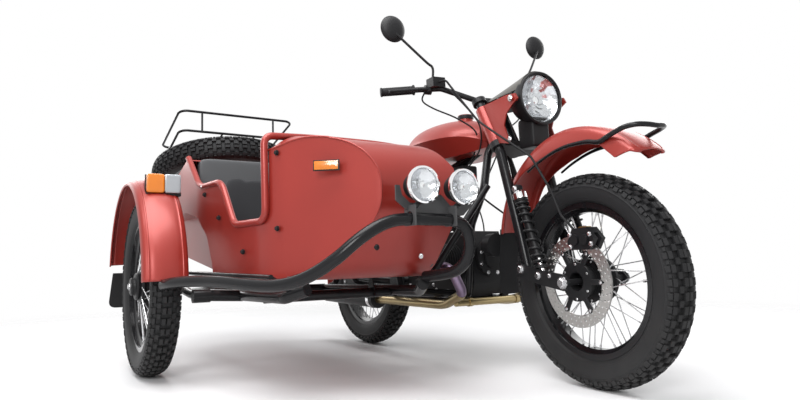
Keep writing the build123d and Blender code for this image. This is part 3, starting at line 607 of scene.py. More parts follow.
def disc_carrier():
    """The disc's spider: a boss, six spokes from the hub to the ring, and the rests that hold it."""
    boss = lathe([(30, 44), (52, 44), (52, 74), (64, 77), (64, 82), (30, 82)], 48, closed=True)
    out, up = spider()
    frames = np.stack([out, np.cross(up, out), up], axis=2)
    arms = repeated(chamfered(0.2), out * 82 + [0, 0, 76.5], frames, (50, 17, 6))
    rest = repeated(lathe([(0, 0), (9, 0), (9, 8), (0, 8)], 16), out * 103 + [0, 0, 75.5])
    return joined(boss, arms, rest)


def disc_bobbins():
    """Steel bobbins in the ring, and the bolts on the spider's boss."""
    (out, up), (between, _) = spider(), spider(0.5)
    bobbin = lathe([(0, 0), (6, 0), (6, 9.5), (4, 10.5), (0, 10.5)], 14)
    return joined(repeated(bobbin, out * 103 + [0, 0, 74.5]), bolts(between * 56 + [0, 0, 80.5], up, 4.5, 4))


def upright(place, side=1):
    """How a wheel shape goes to a wheel that stands: its Z is the axle, to one side, at a place."""
    return lambda shape: along_y(shape, place, side)


def lying(place):
    """How a wheel shape goes to the spare, which lies on the sloping lid."""
    turn = rotation((0, 1, 0), -LID_SLOPE)
    return lambda shape: moved(shape, place, turn)


def front_place(shape):
    """How a wheel shape goes to the front wheel, turned with the fork."""
    return steered(along_y(shape, (WHEELBASE, 0, TYRE_R)))


def wheel_places():
    """Each wheel's name, its body and how shapes reach it."""
    return [("front", "front_wheel", front_place),
            ("rear", "rear_wheel", upright((0, 0, TYRE_R))),
            ("sidecar", "sidecar_wheel", upright((SIDE_LEAD, -TRACK, TYRE_R))),
            ("spare", "boot_lid", lying(SPARE_CENTRE))]


# Sprung legs and lamps
def helix(radius, start, end, turns, wire):
    """A coil spring: a wire carried round Z, closed up at both ends where its rise slows."""
    share = np.linspace(0, 1, int(turns * 20) + 1)
    rise = share - np.sin(share * 2 * math.pi) / (2 * math.pi) * 0.35
    angle = share * turns * 2 * math.pi
    route = np.stack([radius * np.cos(angle), radius * np.sin(angle), start + (end - start) * rise], 1)
    return tube(route, wire, 8)


def shock_parts(low, high, spring_r):
    """A coil over damper: its black parts, its bright parts, from its lower eye to its upper one."""
    low, high = np.array(low, float), np.array(high, float)
    length = np.linalg.norm(high - low)
    wire = spring_r * 0.18
    coil = helix(spring_r - wire, 34, length - 48, 9.5, wire)
    body = lathe([(0, 60), (15, 60), (15, length - 60), (0, length - 60)], 28)
    seats = [lathe([(0, z), (spring_r, z), (spring_r, z + 5), (spring_r * 0.7, z + 9), (0, z + 9)], 32)
             for z in (26, length - 50)]
    shaft = lathe([(0, 8), (7.5, 8), (7.5, 64), (0, 64)], 20)
    cup = lathe([(0, length - 42), (spring_r * 0.98, length - 42), (spring_r, length - 38), (spring_r, length - 20),
                 (spring_r * 0.8, length - 13), (0, length - 12)], 36)
    stand = lambda shape: along(shape, low, high - low, (0, 1, 0))
    eyes = [along_y(lathe([(0, -12), (14, -12), (15, -10), (15, 10), (14, 12), (0, 12)], 28), end)
            for end in (low, high)]
    black = joined(stand(coil), stand(body), *[stand(seat) for seat in seats], *eyes)
    bright = joined(stand(shaft), stand(cup))
    return black, bright


def faceted_bowl(radius, depth, rings, sides, inner=0.12):
    """A reflector in facets: the depth falls with the square of the radius, and every other ring is turned."""
    share = np.linspace(1, inner, rings)[:, None]
    angle = np.linspace(0, 2 * math.pi, sides, endpoint=False)[None, :]
    twist = (np.arange(rings) % 2)[:, None] * math.pi / sides
    wave = 1 + 0.10 * np.cos(4 * angle) * share + 0.05 * np.cos(angle * sides / 2) * share
    points = np.stack([share * radius * np.cos(angle + twist), share * radius * np.sin(angle + twist),
                       -depth * (1 - share**2) * wave], -1)
    return grid(points, wrap_columns=True)


def lamp_parts(radius, depth, sides):
    """A round lamp that faces Z from 0: its reflector with four ribs, the bulb's cap, and the front glass."""
    bowl = faceted_bowl(radius, depth, 7, sides)
    well = lathe([(radius * 0.12, -depth), (radius * 0.12, -depth * 1.05), (0, -depth * 1.05)], 20)
    cap = lathe([(0, -depth * 0.9), (radius * 0.16, -depth * 0.9), (radius * 0.17, -depth * 0.35),
                 (radius * 0.1, -depth * 0.28), (0, -depth * 0.27)], 20)
    glass = lathe([(0, radius * 0.16), (radius * 0.5, radius * 0.13), (radius * 0.85, radius * 0.06), (radius, 0),
                   (radius, -1.5), (radius * 0.85, radius * 0.06 - 2), (radius * 0.5, radius * 0.13 - 2),
                   (0, radius * 0.16 - 2)], 48)
    return bowl, joined(well, cap), glass


# Guards, and the lines of the body
def guard(place, radius, half, angles, falls, nose=0.0):
    """A wheel guard's sheet: a crown, a ridge near each side and a turned down side with a rolled edge, carried round
    the wheel. The radius less the fall gives each line, and the side's depth changes with the angle."""
    turn = np.radians(np.linspace(angles[0], angles[1], 150))[:, None]
    depth = np.interp(np.degrees(turn), [angle for angle, fall in falls], [fall for angle, fall in falls])
    # share of the half width, fall of the crown in mm, and share of the side's depth
    line = flowing([(0, 0, 0), (0.25, 0.5, 0), (0.5, 2.6, 0), (0.64, 5.2, 0), (0.70, 6.0, 0), (0.74, 5.0, 0),
                    (0.79, 6.5, 0.03), (0.88, 8, 0.14), (0.95, 8, 0.42), (1.0, 8, 1), (0.99, 11, 1),
                    (0.955, 11.5, 1), (0.945, 9, 1)], 3)
    line = np.vstack([line[:0:-1] * [-1, 1, 1], line])
    to_nose = (turn - turn.min()) * radius
    bend = np.clip(1 - to_nose / max(nose, 1e-6), 0, 1)
    narrow = 1 - (nose / half) * (1 - np.sqrt(1 - bend**2))
    fall = line[:, 1] + line[:, 2] * np.maximum(depth - 8, 0)
    reach = radius - fall
    points = np.stack([place[0] + reach * np.cos(turn), place[1] + half * line[:, 0] * narrow,
                       place[2] + reach * np.sin(turn)], -1)
    return grid(points)


def polar(place, radius, y, angle):
    """A point at a radius and an angle round a wheel guard's middle."""
    turn = math.radians(angle)
    return (place[0] + radius * math.cos(turn), y, place[2] + radius * math.sin(turn))


# The sidecar's body: each round's middle and radius, in plan, across the cowl and from the side, and slopes
PLAN_ROUND = (834.4, -692.6, 250)
PLAN_SLOPE = 0.8319
CROWN_ROUND = (-789.5, 712, 150)
COWL_SLOPE = 69 / 354
NOSE_ROUND = (1086, 660.5, 168)
CHIN_ROUND = (1091, 637.7, 163)


def arc(middle_and_radius, start, end, count):
    """Points round a middle between two angles in degrees: the middle plus the radius times cosine and sine."""
    x, z, radius = middle_and_radius
    turn = np.radians(np.linspace(start, end, count))
    return np.c_[x + radius * np.cos(turn), z + radius * np.sin(turn)]


def cowl_edge():
    """The line where the sidecar's side meets its cowl: the crown's height while it is lower than the nose's round,
    then the nose's two rounds and its slope, each set out sideways to the plan's line."""
    x = np.linspace(928, 1118, 24)
    crown_y = plan_line(x)
    middle_y, middle_z, radius = CROWN_ROUND
    crown = np.where(crown_y < -880.2, 710 + 0.76 * (crown_y + 1040),
                     middle_z + np.sqrt(np.maximum(0, radius**2 - np.minimum(crown_y - middle_y, 0) ** 2)))
    over = np.c_[x, crown - (x - 945) * COWL_SLOPE]
    line = np.vstack([over, arc(NOSE_ROUND, 78, 0, 20), arc(CHIN_ROUND, -4, -40, 12), [(1172, 481), (1129, 430)]])
    return np.c_[line[:, 0], plan_line(line[:, 0]), line[:, 1]]


def plan_line(x):
    """The plan's outer line over the sidecar's front: a round of 250 mm, and then a straight to the nose."""
    middle_x, middle_y, radius = PLAN_ROUND
    bend = middle_y - np.sqrt(np.maximum(0, radius**2 - (x - middle_x) ** 2))
    return np.where(x < 994, bend, -930 + (x - 940) * PLAN_SLOPE)


# The user's settings
class SidecarPaint(bpy.types.PropertyGroup):
    red: FloatVectorProperty(name="Body Red", description="The satin red of tank, guards and sidecar",
                             default=(0.27, 0.022, 0.015), subtype="COLOR", size=3, min=0, max=1)


class SidecarWheels(bpy.types.PropertyGroup):
    knob_pitches: IntProperty(name="Tread Pitches", description="How often the tread repeats round a tyre",
                              default=54, min=20, max=90)
    spoke_radius: FloatProperty(name="Spoke Radius", description="Half the thickness of a spoke, in mm",
                                default=1.9, min=1, max=3)


class SidecarPads(bpy.types.PropertyGroup):
    voxel: FloatProperty(name="Pad Grid", description="The size of the grid that a pad is remeshed to",
                         default=0.006, unit="LENGTH", min=0.003, max=0.02)
    pressure: FloatProperty(name="Pad Pressure", description="How hard the filling pushes the cover out",
                            default=4, min=0, max=20)


class SidecarStudio(bpy.types.PropertyGroup):
    lens: FloatProperty(name="Lens", description="The camera's focal length", default=27.38, unit="CAMERA",
                        min=10, max=200)
    key_power: FloatProperty(name="Key Light", description="The power of the soft light overhead", default=120,
                             unit="POWER", min=0, max=1000)
    world_strength: FloatProperty(name="Surrounding Light", description="How bright the surroundings are",
                                  default=0.36, min=0, max=3)


class SIDECAR_OT_finishes(bpy.types.Operator):
    """Give every node of the frame its finish"""
    bl_idname = "sidecar.finishes"
    bl_label = "Finish the Frame"

    def execute(self, context):
        slots = {row["node"]: row["material_slot"] for row in frame["record"]["subparts"]}
        for name, node in frame["nodes"].items():
            material = finish(NODE_FINISH.get(name, SLOT_FINISH[slots[name]]))
            for place in range(len(node.data.materials)):
                node.data.materials[place] = material
        return {"FINISHED"}


class SIDECAR_OT_tyres(bpy.types.Operator):
    """Block tread tyres for the three wheels and the spare"""
    bl_idname = "sidecar.tyres"
    bl_label = "Tyres"

    def execute(self, context):
        sizes = context.scene.sidecar_wheels
        shape = joined(carcass(), knob_rows(sizes))
        for name, body, place in wheel_places():
            build(f"{name}_tread", place(shape), body, "tyre", [f"{name}_tyre"], sharp=38)
        return {"FINISHED"}


class SIDECAR_OT_wheels(bpy.types.Operator):
    """Hubs, laced spokes, drilled discs and the sidecar's hub cap"""
    bl_idname = "sidecar.wheels"
    bl_label = "Hubs and Spokes"

    def execute(self, context):
        lacing = spokes(context.scene.sidecar_wheels.spoke_radius)
        for name, body, place in wheel_places():
            barrel = place(hub_barrel())
            build(f"{name}_hub_barrel", barrel, body, "bright_steel", [f"{name}_hub"], look="casting_black")
            build(f"{name}_spokes", place(lacing), body, "bright_steel")
            build(f"{name}_valve", place(valve()), body, "black_rubber")
        discs = [("front", "front_wheel", lambda shape: steered(along_y(shape, (WHEELBASE, 0, TYRE_R), -1))),
                 ("rear", "rear_wheel", upright((0, 0, TYRE_R))),
                 ("sidecar", "sidecar_wheel", upright((SIDE_LEAD, -TRACK, TYRE_R)))]
        ring = moved(drilled_ring(107, 147, 2.5, 3, 36, 3.6), (0, 0, 79.5))
        for name, body, place in discs:
            stands_for = ["front_disc"] if name == "front" else []
            build(f"{name}_disc_ring", place(ring), body, "disc_steel", stands_for, close=False)
            build(f"{name}_disc_carrier", place(disc_carrier()), body, "black_metal")
            build(f"{name}_disc_bobbins", place(disc_bobbins()), body, "bright_steel")
        cap = lathe([(0, 40), (52, 40), (54, 47), (50, 53), (38, 55), (35, 60), (35, 66), (30, 71), (0, 72)], 48)
        outside = upright((SIDE_LEAD, -TRACK, TYRE_R), -1)
        build("sidecar_hub_cap", outside(cap), "sidecar_wheel", "black_metal")
        nut = bolts([(0, 0, 72)], [(0, 0, 1)], 11, 7)
        build("sidecar_axle_nut", outside(nut), "sidecar_wheel", "bright_steel")
        return {"FINISHED"}


def valve():
    """The valve stem in the rim."""
    stem = lathe([(0, 0), (3.2, 0), (3, 22), (4.2, 23), (4.2, 30), (0, 31)], 12)
    return along(stem, (RIM_BORE + 2, 0, 0), (-1, 0, 0))


class SIDECAR_OT_shocks(bpy.types.Operator):
    """Coil over dampers at the front and the rear"""
    bl_idname = "sidecar.shocks"
    bl_label = "Shocks"

    def execute(self, context):
        # name, body, lower eye, upper eye, spring radius, how it is placed
        table = [("front_shocks", "fork", (1386, 114, 372), (1281, 114, 676), 25, steered),
                 ("rear_shocks", "chassis", (20, 158, 372), (82, 158, 690), 27, moved)]
        for name, body, low, high, radius, place in table:
            black, bright = shock_parts(low, high, radius)
            build(f"{name}_springs", place(both(black)), body, "black_metal", [name])
            build(f"{name}_chrome", place(both(bright)), body, "chrome")
        return {"FINISHED"}


class SIDECAR_OT_guards(bpy.types.Operator):
    """The three wheels' guards with rolled edges, and the bars that protect them"""
    bl_idname = "sidecar.guards"
    bl_label = "Guards and Bars"

    def execute(self, context):
        front = (1492, 0, 463)
        falls = [(44.5, 12), (47, 18), (49.3, 36), (52.6, 62), (59.6, 57), (65, 48), (74, 50), (89, 58),
                 (108, 62), (120, 54), (131, 40), (142, 28), (171, 24)]
        sheet = guard(front, 394, 76, (44.5, 171), falls, 30)
        build("front_guard", steered(sheet), "fork", "red_paint", ["front_fender"], 50, close=False, sheet=2)
        rear = guard((0, 0, 366), 394, 78, (28, 190), [(28, 30), (190, 30)])
        build("rear_guard", rear, "chassis", "red_paint", ["rear_fender"], 50, close=False, sheet=2)
        side = guard((210, -1172, 345), 440, 78, (4, 168), [(4, 30), (168, 30)])
        build("sidecar_guard", side, "chassis", "red_paint", ["sidecar_fender"], 50, close=False, sheet=2)
        self.front_hoop(front)
        self.sidecar_hoop()
        return {"FINISHED"}

    def front_hoop(self, front):
        # angle and radius round the guard's middle, where the bar runs along the side's edge
        side = [(125, 330), (116, 324), (107, 322), (98, 324), (89, 328), (80, 334), (73, 342)]
        edge = [polar(front, radius, -80.5, angle) for angle, radius in side]
        nose = [(1640, -81, 781), (1672, -81, 790), (1706, -80, 800), (1740, -77, 808), (1767, -60, 811),
                (1784, -33, 809), (1790, 0, 806)]
        line = flowing(edge + nose, 6)
        line = np.vstack([line, (line * [1, -1, 1])[-2::-1]])
        share = np.minimum(1, np.minimum(np.arange(len(line)), np.arange(len(line))[::-1]) / 45)
        build("front_hoop", steered(tube(line, 4 + 4 * share, 14)), "fork", "black_frame",
              ["fender_hoop"], 60)

    def sidecar_hoop(self):
        route = [(640, -1182, 362), (700, -1168, 370), (770, -1137, 375), (850, -1099, 376), (940, -1061, 373),
                 (1040, -1018, 365), (1120, -980, 362), (1190, -944, 370), (1250, -904, 393), (1305, -855, 436),
                 (1336, -800, 488), (1348, -745, 524), (1350, -690, 544), (1350, -630, 550), (1350, -560, 550),
                 (1350, -490, 549), (1350, -440, 540), (1349, -412, 512), (1343, -400, 470), (1322, -399, 425),
                 (1275, -404, 392), (1200, -412, 378), (1120, -420, 371)]
        bar = tube(flowing(route, 6), 19, 20)
        build("front_bar", bar, "chassis", "black_frame", ["sidecar_hoop"], 60)


class SIDECAR_OT_bodywork(bpy.types.Operator):
    """The sidecar's trim: the cowl's bead, the cockpit's edge, mud flaps, studs, the reflector and the cockpit's
    lining
    """
    bl_idname = "sidecar.bodywork"
    bl_label = "Sidecar Trim"

    def execute(self, context):
        build("cowl_bead", tube(cowl_edge(), 3.2, 10), "chassis", "red_paint")
        self.rim()
        self.lining()
        self.reflector()
        self.flaps()
        studs = [(978, -902, 790), (985, -903, 540), (800, -956, 470), (610, -985, 600), (470, -1000, 700),
                 (1240, -680, 470)]
        out = [(0.3, -1, 0)] * len(studs)
        build("body_studs", bolts(studs, out, 7, 9), "chassis", "black_plastic")
        bright = [(440, -1005, 735), (1150, -757, 446), (1300, -560, 440)]
        heads = bolts(bright, [(0.2, -1, 0), (0.5, -0.8, 0), (1, 0, 0)], 6, 6)
        build("bright_studs", heads, "chassis", "bright_steel")
        return {"FINISHED"}

    def rim(self):
        # x, y, z of each corner, and how far before it the bend starts
        corners = [(206, -1001, 884, 0), (395, -1000, 735, 60), (612, -978, 735, 46), (722, -962, 567, 34),
                   (945, -929, 567, 46), (938, -932, 852, 34), (900, -740, 868, 60), (900, -470, 868, 60),
                   (938, -377, 852, 34), (938, -374, 742, 30), (212, -374, 762, 30), (206, -374, 884, 0)]
        table = np.array(corners, float)
        route = rounded(table[:, :3], table[:, 3] + 1, 12, closed=False)
        build("cockpit_edge", tube(route, 12.5, 18), "chassis", "red_paint", ["cockpit_rim"], 60)

    def flaps(self):
        """Rubber flaps that widen downwards, with round lower corners."""
        front = self.flap(62, 80, 540, 292, 1101)
        side = moved(self.flap(58, 74, 400, 242, -237), (0, -1172, 0))
        build("front_mud_flap", steered(front), "fork", "black_rubber", ["front_flap"], 50)
        build("sidecar_mud_flap", side, "chassis", "black_rubber", ["sidecar_flap"], 50)

    def flap(self, top, foot, high, low, x):
        """A flap from its half widths and heights: an outline across, between two values of x."""
        outline = rounded([(-top, high), (top, high), (foot, low), (-foot, low)], [4, 4, 34, 34], 8)
        points, quads = slab(outline, -2.5, 2.5)
        curl = ((high - points[:, 2]) / (high - low)) ** 2 * 8
        return np.stack([x - points[:, 1] - curl, points[:, 0], points[:, 2]], 1), quads

    def lining(self):
        """The dark lining: the panel behind the seat, the inner wall's panel with its seams, and the mat."""
        back = pillow((184, -962, 690), (238, -392, 884), 0.16, 24)
        wall = pillow((200, -386, 392), (1120, -378.5, 742), 0.15, 24)
        mat = pillow((640, -880, 376), (1040, -400, 386), 0.15, 20)
        seams = [tube([(x, -387, 400), (x, -387.5, 560), (x, -387, 735)], 1.6, 8) for x in (330, 560, 790, 1000)]
        build("cockpit_lining", joined(back, wall, mat, *seams), "chassis", "seat_leather", sharp=60,
              look="cockpit_grey")

    def reflector(self):
        run = np.array([1160, -764, 728]) - np.array([1110, -826, 732.0])
        out = np.cross(run, [0, 0, 1.0])
        out /= np.linalg.norm(out)
        middle = np.array([1135, -795, 730]) + out * 17
        frame_of = frames_along(out, (0, 0, 1))
        plate = repeated(chamfered(0.25), middle - out * 4, frame_of, (34, 84, 6))
        lens = repeated(chamfered(0.3), middle, frame_of, (27, 76, 6))
        build("reflector_frame", plate, "chassis", "black_plastic")
        build("side_reflector", lens, "chassis", "lamp_amber")


class SIDECAR_OT_hardware(bpy.types.Operator):
    """Bolts, nuts and caps on the fork, the brake, the engine and the frame"""
    bl_idname = "sidecar.hardware"
    bl_label = "Bolts and Nuts"

    def execute(self, context):
        # y outwards on each side of the fork: x, y, z, radius, height
        fork = [(1299, 139, 393, 12, 9), (1386, 139, 372, 10, 8), (1500, 140, 350, 15, 12), (1281, 127, 676, 9, 7),
                (1286, 123, 1003, 9, 6), (1262, 117, 860, 7, 5), (1160, 117, 905, 6, 5), (1440, 139, 372, 6, 5)]
        heads = [bolts([(x, y, z)], [(0, 1, 0)], radius, height) for x, y, z, radius, height in fork]
        build("fork_bolts", steered(both(joined(*heads))), "fork", "bright_steel")
        brake = [(1512, -106, 500), (1596, -106, 500), (1512, -106, 462), (1600, -106, 470)]
        caps = [bolts(brake, [(0, -1, 0)] * 4, 6, 6), bolts([(1554, -80, 521)], [(0, 0, 1)], 6, 8)]
        build("caliper_bolts", steered(joined(*caps)), "fork", "bright_steel")
        bridge = repeated(chamfered(0.3), [(1554, -80, 519)], None, (34, 22, 7))
        build("caliper_bridge", steered(bridge), "fork", "bright_steel", look="gold_anodised")
        turn = np.radians(np.arange(8) * 45 + 22)
        ring = [(990, 62 * math.cos(a), 430 + 62 * math.sin(a)) for a in turn]
        side = [(x, 82, z) for x, z in [(715, 300), (800, 296), (890, 296), (950, 345), (950, 470), (900, 528),
                                        (800, 530), (715, 525)]]
        covers = [(812, 346, 420), (888, 346, 420)]
        box = [(x, 78, z) for x, z in [(510, 315), (600, 312), (690, 320), (690, 510), (590, 508), (505, 430)]]
        rack = [bolts(ring, [(1, 0, 0)] * 8, 6, 6), both(bolts(side, [(0, 1, 0)] * 8, 6, 6)),
                both(bolts(covers, [(0, 1, 0)] * 2, 9, 8)), both(bolts(box, [(0, 1, 0)] * 6, 6, 6))]
        drive = [(70 * math.cos(a), -118, 350 + 70 * math.sin(a)) for a in turn]
        rack.append(bolts(drive, [(0, -1, 0)] * 8, 5.5, 5))
        rack.append(both(bolts([(20, 170, 372), (82, 170, 690)], [(0, 1, 0)] * 2, 10, 8)))
        build("engine_bolts", joined(*rack), "chassis", "bright_steel")
        plugs = both(joined(rods([(905, 262, 455)], [(930, 280, 480)], 9, 12),
                            tube(flowing([(926, 277, 476), (940, 280, 500), (930, 240, 560), (900, 150, 620),
                                          (860, 70, 690), (840, 44, 740), (838, 26, 772)], 8), 4, 10)))
        coil = pillow((800, -40, 748), (870, 40, 822), 0.2, 14)
        build("plug_leads", joined(plugs, coil), "chassis", "black_rubber")
        tip = lathe([(0, 0), (20, 0), (20, 26), (17, 26), (17, 2), (0, 2)], 28)
        collar = lathe([(43, 0), (44, 4), (44, 20), (43, 24), (41, 24), (41, 0)], 40, closed=True)
        tips = joined(along(tip, (-150, 180, 262), (-1, 0, 0)), along(collar, (352, 175.3, 251.6), (-1, 0, 0)))
        build("silencer_tips", both(tips), "chassis", "chrome")
        self.headers()
        cap = lathe([(0, 1046), (14, 1045), (30, 1041), (34, 1036), (34, 1024), (31, 1020), (31, 1010),
                     (0, 1010)], 40)
        build("tank_cap", moved(cap, (850, 0, 0)), "chassis", "black_plastic")
        box = pillow((1215, -40, 830), (1300, 40, 940), 0.2, 16)
        build("relay_box", steered(box), "fork", "black_plastic")
        return {"FINISHED"}

    def headers(self):
        """The exhaust pipes: tinted by heat at the first bend, with a flange, the balance pipe and its clamps."""
        route = rounded([(905, 250, 400), (1040, 250, 400), (1046, 200, 300), (900, 175, 250), (378, 175, 251)],
                        [1, 48, 26, 46, 1], 12, closed=False)
        tinted = 21  # how many points of the route the heat has tinted
        flange = lathe([(20, 0), (34, 0), (34, 9), (20, 9)], 32, closed=True)
        bend = joined(tube(route[:tinted], 19, 20), along(flange, (918, 250, 400), (1, 0, 0)))
        pipe = tube(route[tinted - 1:], 19, 20)
        balance = rods([(985, -189, 262)], [(985, 189, 262)], 15, 20)
        clamp = lathe([(15, -9), (18, -9), (18, 9), (15, 9)], 28, closed=True)
        clamps = [along_y(clamp, (985, y, 262)) for y in (-120, 120)]
        build("header_bends", both(bend), "chassis", "bronze_pipe", look="heated_purple")
        build("header_pipes", joined(both(pipe), balance, *clamps), "chassis", "bronze_pipe",
              ["exhaust_headers"])


class SIDECAR_OT_cables(bpy.types.Operator):
    """The control cables from the handlebar to the frame"""
    bl_idname = "sidecar.cables"
    bl_label = "Control Cables"

    def execute(self, context):
        # each from the handlebar to the frame
        routes = [[(930, -262, 1098), (905, -262, 1062), (925, -225, 1030), (975, -140, 985), (1000, -70, 930),
                   (960, -52, 850), (880, -60, 780), (800, -130, 650), (722, -196, 560), (694, -211, 484)],
                  [(955, -244, 1108), (985, -205, 1100), (1020, -140, 1030), (1040, -84, 950), (1010, -64, 860),
                   (930, -60, 800), (860, -26, 786)],
                  [(880, -60, 780), (856, -20, 734), (812, 60, 700), (732, 176, 590), (694, 211, 484)],
                  [(932, 262, 1098), (915, 262, 1058), (940, 215, 1022), (985, 130, 975), (1005, 70, 915),
                   (960, 56, 830), (880, 66, 740), (760, 96, 620), (660, 70, 570), (600, 40, 522)]]
        lines = [tube(flowing(route, 10), 3.2, 10) for route in routes]
        piece = build("control_cables", joined(*lines), "chassis", "black_rubber", sharp=60)
        piece.parent = None
        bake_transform(piece)
        return {"FINISHED"}


class SIDECAR_OT_lamps(bpy.types.Operator):
    """The headlamp, the two spot lamps, the guard's marker lamp and the tail lamp"""
    bl_idname = "sidecar.lamps"
    bl_label = "Lamps"

    def execute(self, context):
        self.headlamp()
        self.spots()
        self.marker()
        return {"FINISHED"}

    def headlamp(self):
        face = lambda shape: steered(along(shape, HEADLAMP_PLACE, (1, 0, 0)))
        shell = lathe([(0, -116), (24, -113), (46, -102), (66, -84), (80, -62), (90, -36), (95, -16), (95, 0),
                       (98, 2), (98, 14), (94, 17), (88, 12), (87, 0), (60, -60), (0, -64)], 64)
        build("headlamp_bowl", face(shell), "fork", "black_metal", ["headlamp_shell"])
        bowl, bulb, glass = lamp_parts(86, 52, 28)
        build("headlamp_reflector", face(moved(bowl, (0, 0, 4))), "fork", "chrome",
              sharp=2, close=False, look="bright_reflector")
        build("headlamp_bulb", face(bulb), "fork", "chrome")
        build("headlamp_glass", face(moved(glass, (0, 0, 6))), "fork", "lamp_glass", ["headlamp_lens"],
              look="clear_glass")

    def spots(self):
        housings, rims, bowls, bulbs, glasses = [], [], [], [], []
        for place in SPOT_PLACES:
            face = lambda shape: along(shape, place, (1, 0, 0))
            fins = [(0, -60)]
            for step in range(7):
                root, tip, back = 30 + step * 3, 38 + step * 2.6, -56 + step * 7
                fins += [(root, back), (tip, back + 0.6), (tip, back + 3), (root + 1, back + 3.6)]
            fins += [(55, -8), (55, 0), (49, -1), (30, -30), (0, -32)]
            housings.append(face(lathe(fins, 48)))
            rims.append(face(lathe([(48, -4), (56, -8), (57.5, -2), (56, 4), (51, 6), (48.5, 2)], 64, closed=True)))
            bowl, bulb, glass = lamp_parts(49, 26, 20)
            bowls.append(face(bowl))
            bulbs.append(face(bulb))
            glasses.append(face(glass))
        build("spot_housings", joined(*housings), "chassis", "black_metal", ["spot_lamps"])
        build("spot_rims", joined(*rims), "chassis", "chrome")
        build("spot_reflectors", joined(*bowls), "chassis", "chrome", sharp=2, close=False, look="bright_reflector")
        build("spot_bulbs", joined(*bulbs), "chassis", "chrome")
        build("spot_glasses", joined(*glasses), "chassis", "lamp_glass", look="clear_glass")

    def marker(self):
        """The guard's lamp: a red wedge, a black tray, an amber lens and a clear one."""
        wedge = slab(rounded([(392, 738), (398, 704), (446, 690), (456, 706), (430, 756)], 6), -1214, -1094)
        build("marker_wedge", wedge, "chassis", "red_paint", ["fender_lamp"], bevel=1.5)
        tray = slab(rounded([(440, 702), (440, 690), (474, 690), (474, 700), (458, 702), (458, 770), (450, 770)], 3),
                    -1217, -1091)
        build("marker_tray", tray, "chassis", "black_plastic")
        amber = pillow((456, -1215, 700), (484, -1152, 771), 0.2, 14)
        clear = pillow((456, -1151, 700), (484, -1093, 771), 0.2, 14)
        build("marker_amber", amber, "chassis", "lamp_amber")
        build("marker_clear", clear, "chassis", "lamp_glass", look="clear_lens")
        round_lens = lathe([(0, 60), (20, 60), (34, 56), (40, 50), (41, 44), (0, 44)], 40)
        rim = lathe([(44, 38), (46, 40), (46, 50), (43, 53), (40, 50), (40, 38)], 48, closed=True)
        body = lathe([(0, 0), (20, 0), (36, 10), (43, 30), (43, 44), (0, 44)], 40)
        face = lambda shape: along(shape, TAIL_PLACE, (-1, 0, 0))
        build("tail_lens", face(round_lens), "chassis", "lamp_red", ["tail_lamp"])
        build("tail_rim", face(rim), "chassis", "chrome")
        build("tail_body", face(body), "chassis", "black_plastic")


class SIDECAR_OT_pads(bpy.types.Operator):
    """The rider's seat and the sidecar's cushion and backrest, swelled as padded covers"""
    bl_idname = "sidecar.pads"
    bl_label = "Seats"

    def execute(self, context):
        pads = [("rider_pad", "seat", pillow((-186, -121, 802), (548, 121, 872), 0.28), 0.012),
                ("cushion_pad", "sidecar_seat", pillow((246, -880, 420), (612, -408, 548), 0.26), 0.012),
                ("backrest_pad", "sidecar_backrest", pillow((187, -880, 556), (232, -408, 830), 0.26), 0.01)]
        for name, node, shape, cap in pads:
            self.pad(context, name, node, shape, cap)
        return {"FINISHED"}

    def pad(self, context, name, node, shape, cap):
        piece = build(name, shape, "chassis", "seat_leather", [node], sharp=60)
        settings = context.scene.sidecar_pads
        remesh = piece.modifiers.new("Even Grid", "REMESH")
        remesh.mode = "VOXEL"
        remesh.voxel_size = settings.voxel
        apply_modifiers(piece)
        swell(context, piece, settings.pressure, cap)
        smooth = piece.modifiers.new("Smooth Cover", "SUBSURF")
        smooth.levels = smooth.render_levels = 1
        piece.data.shade_smooth()


def apply_modifiers(piece):
    """Bakes a piece's modifiers into its mesh."""
    graph = bpy.context.evaluated_depsgraph_get()
    mesh = bpy.data.meshes.new_from_object(piece.evaluated_get(graph))
    piece.modifiers.clear()
    piece.data = mesh


def swell(context, piece, pressure, cap):
    """Blows a cover up as cloth under pressure, with no point moved further than the cap."""
    rest = np.empty(len(piece.data.vertices) * 3)
    piece.data.vertices.foreach_get("co", rest)
    cloth = piece.modifiers.new("Filling", "CLOTH")
    cloth.settings.use_pressure = True
    cloth.settings.uniform_pressure_force = pressure
    cloth.settings.effector_weights.gravity = 0
    for step in range(1, CLOTH_STEPS + 1):
        context.scene.frame_set(step)
    apply_modifiers(piece)
    context.scene.frame_set(1)
    rest = rest.reshape(-1, 3)
    now = np.empty(rest.size)
    piece.data.vertices.foreach_get("co", now)
    shift = now.reshape(-1, 3) - rest
    size = np.linalg.norm(shift, axis=1, keepdims=True)
    shift *= np.minimum(1, cap / np.maximum(size, 1e-9))
    piece.data.vertices.foreach_set("co", (rest + shift).astype(np.float32).ravel())
    piece.data.update()


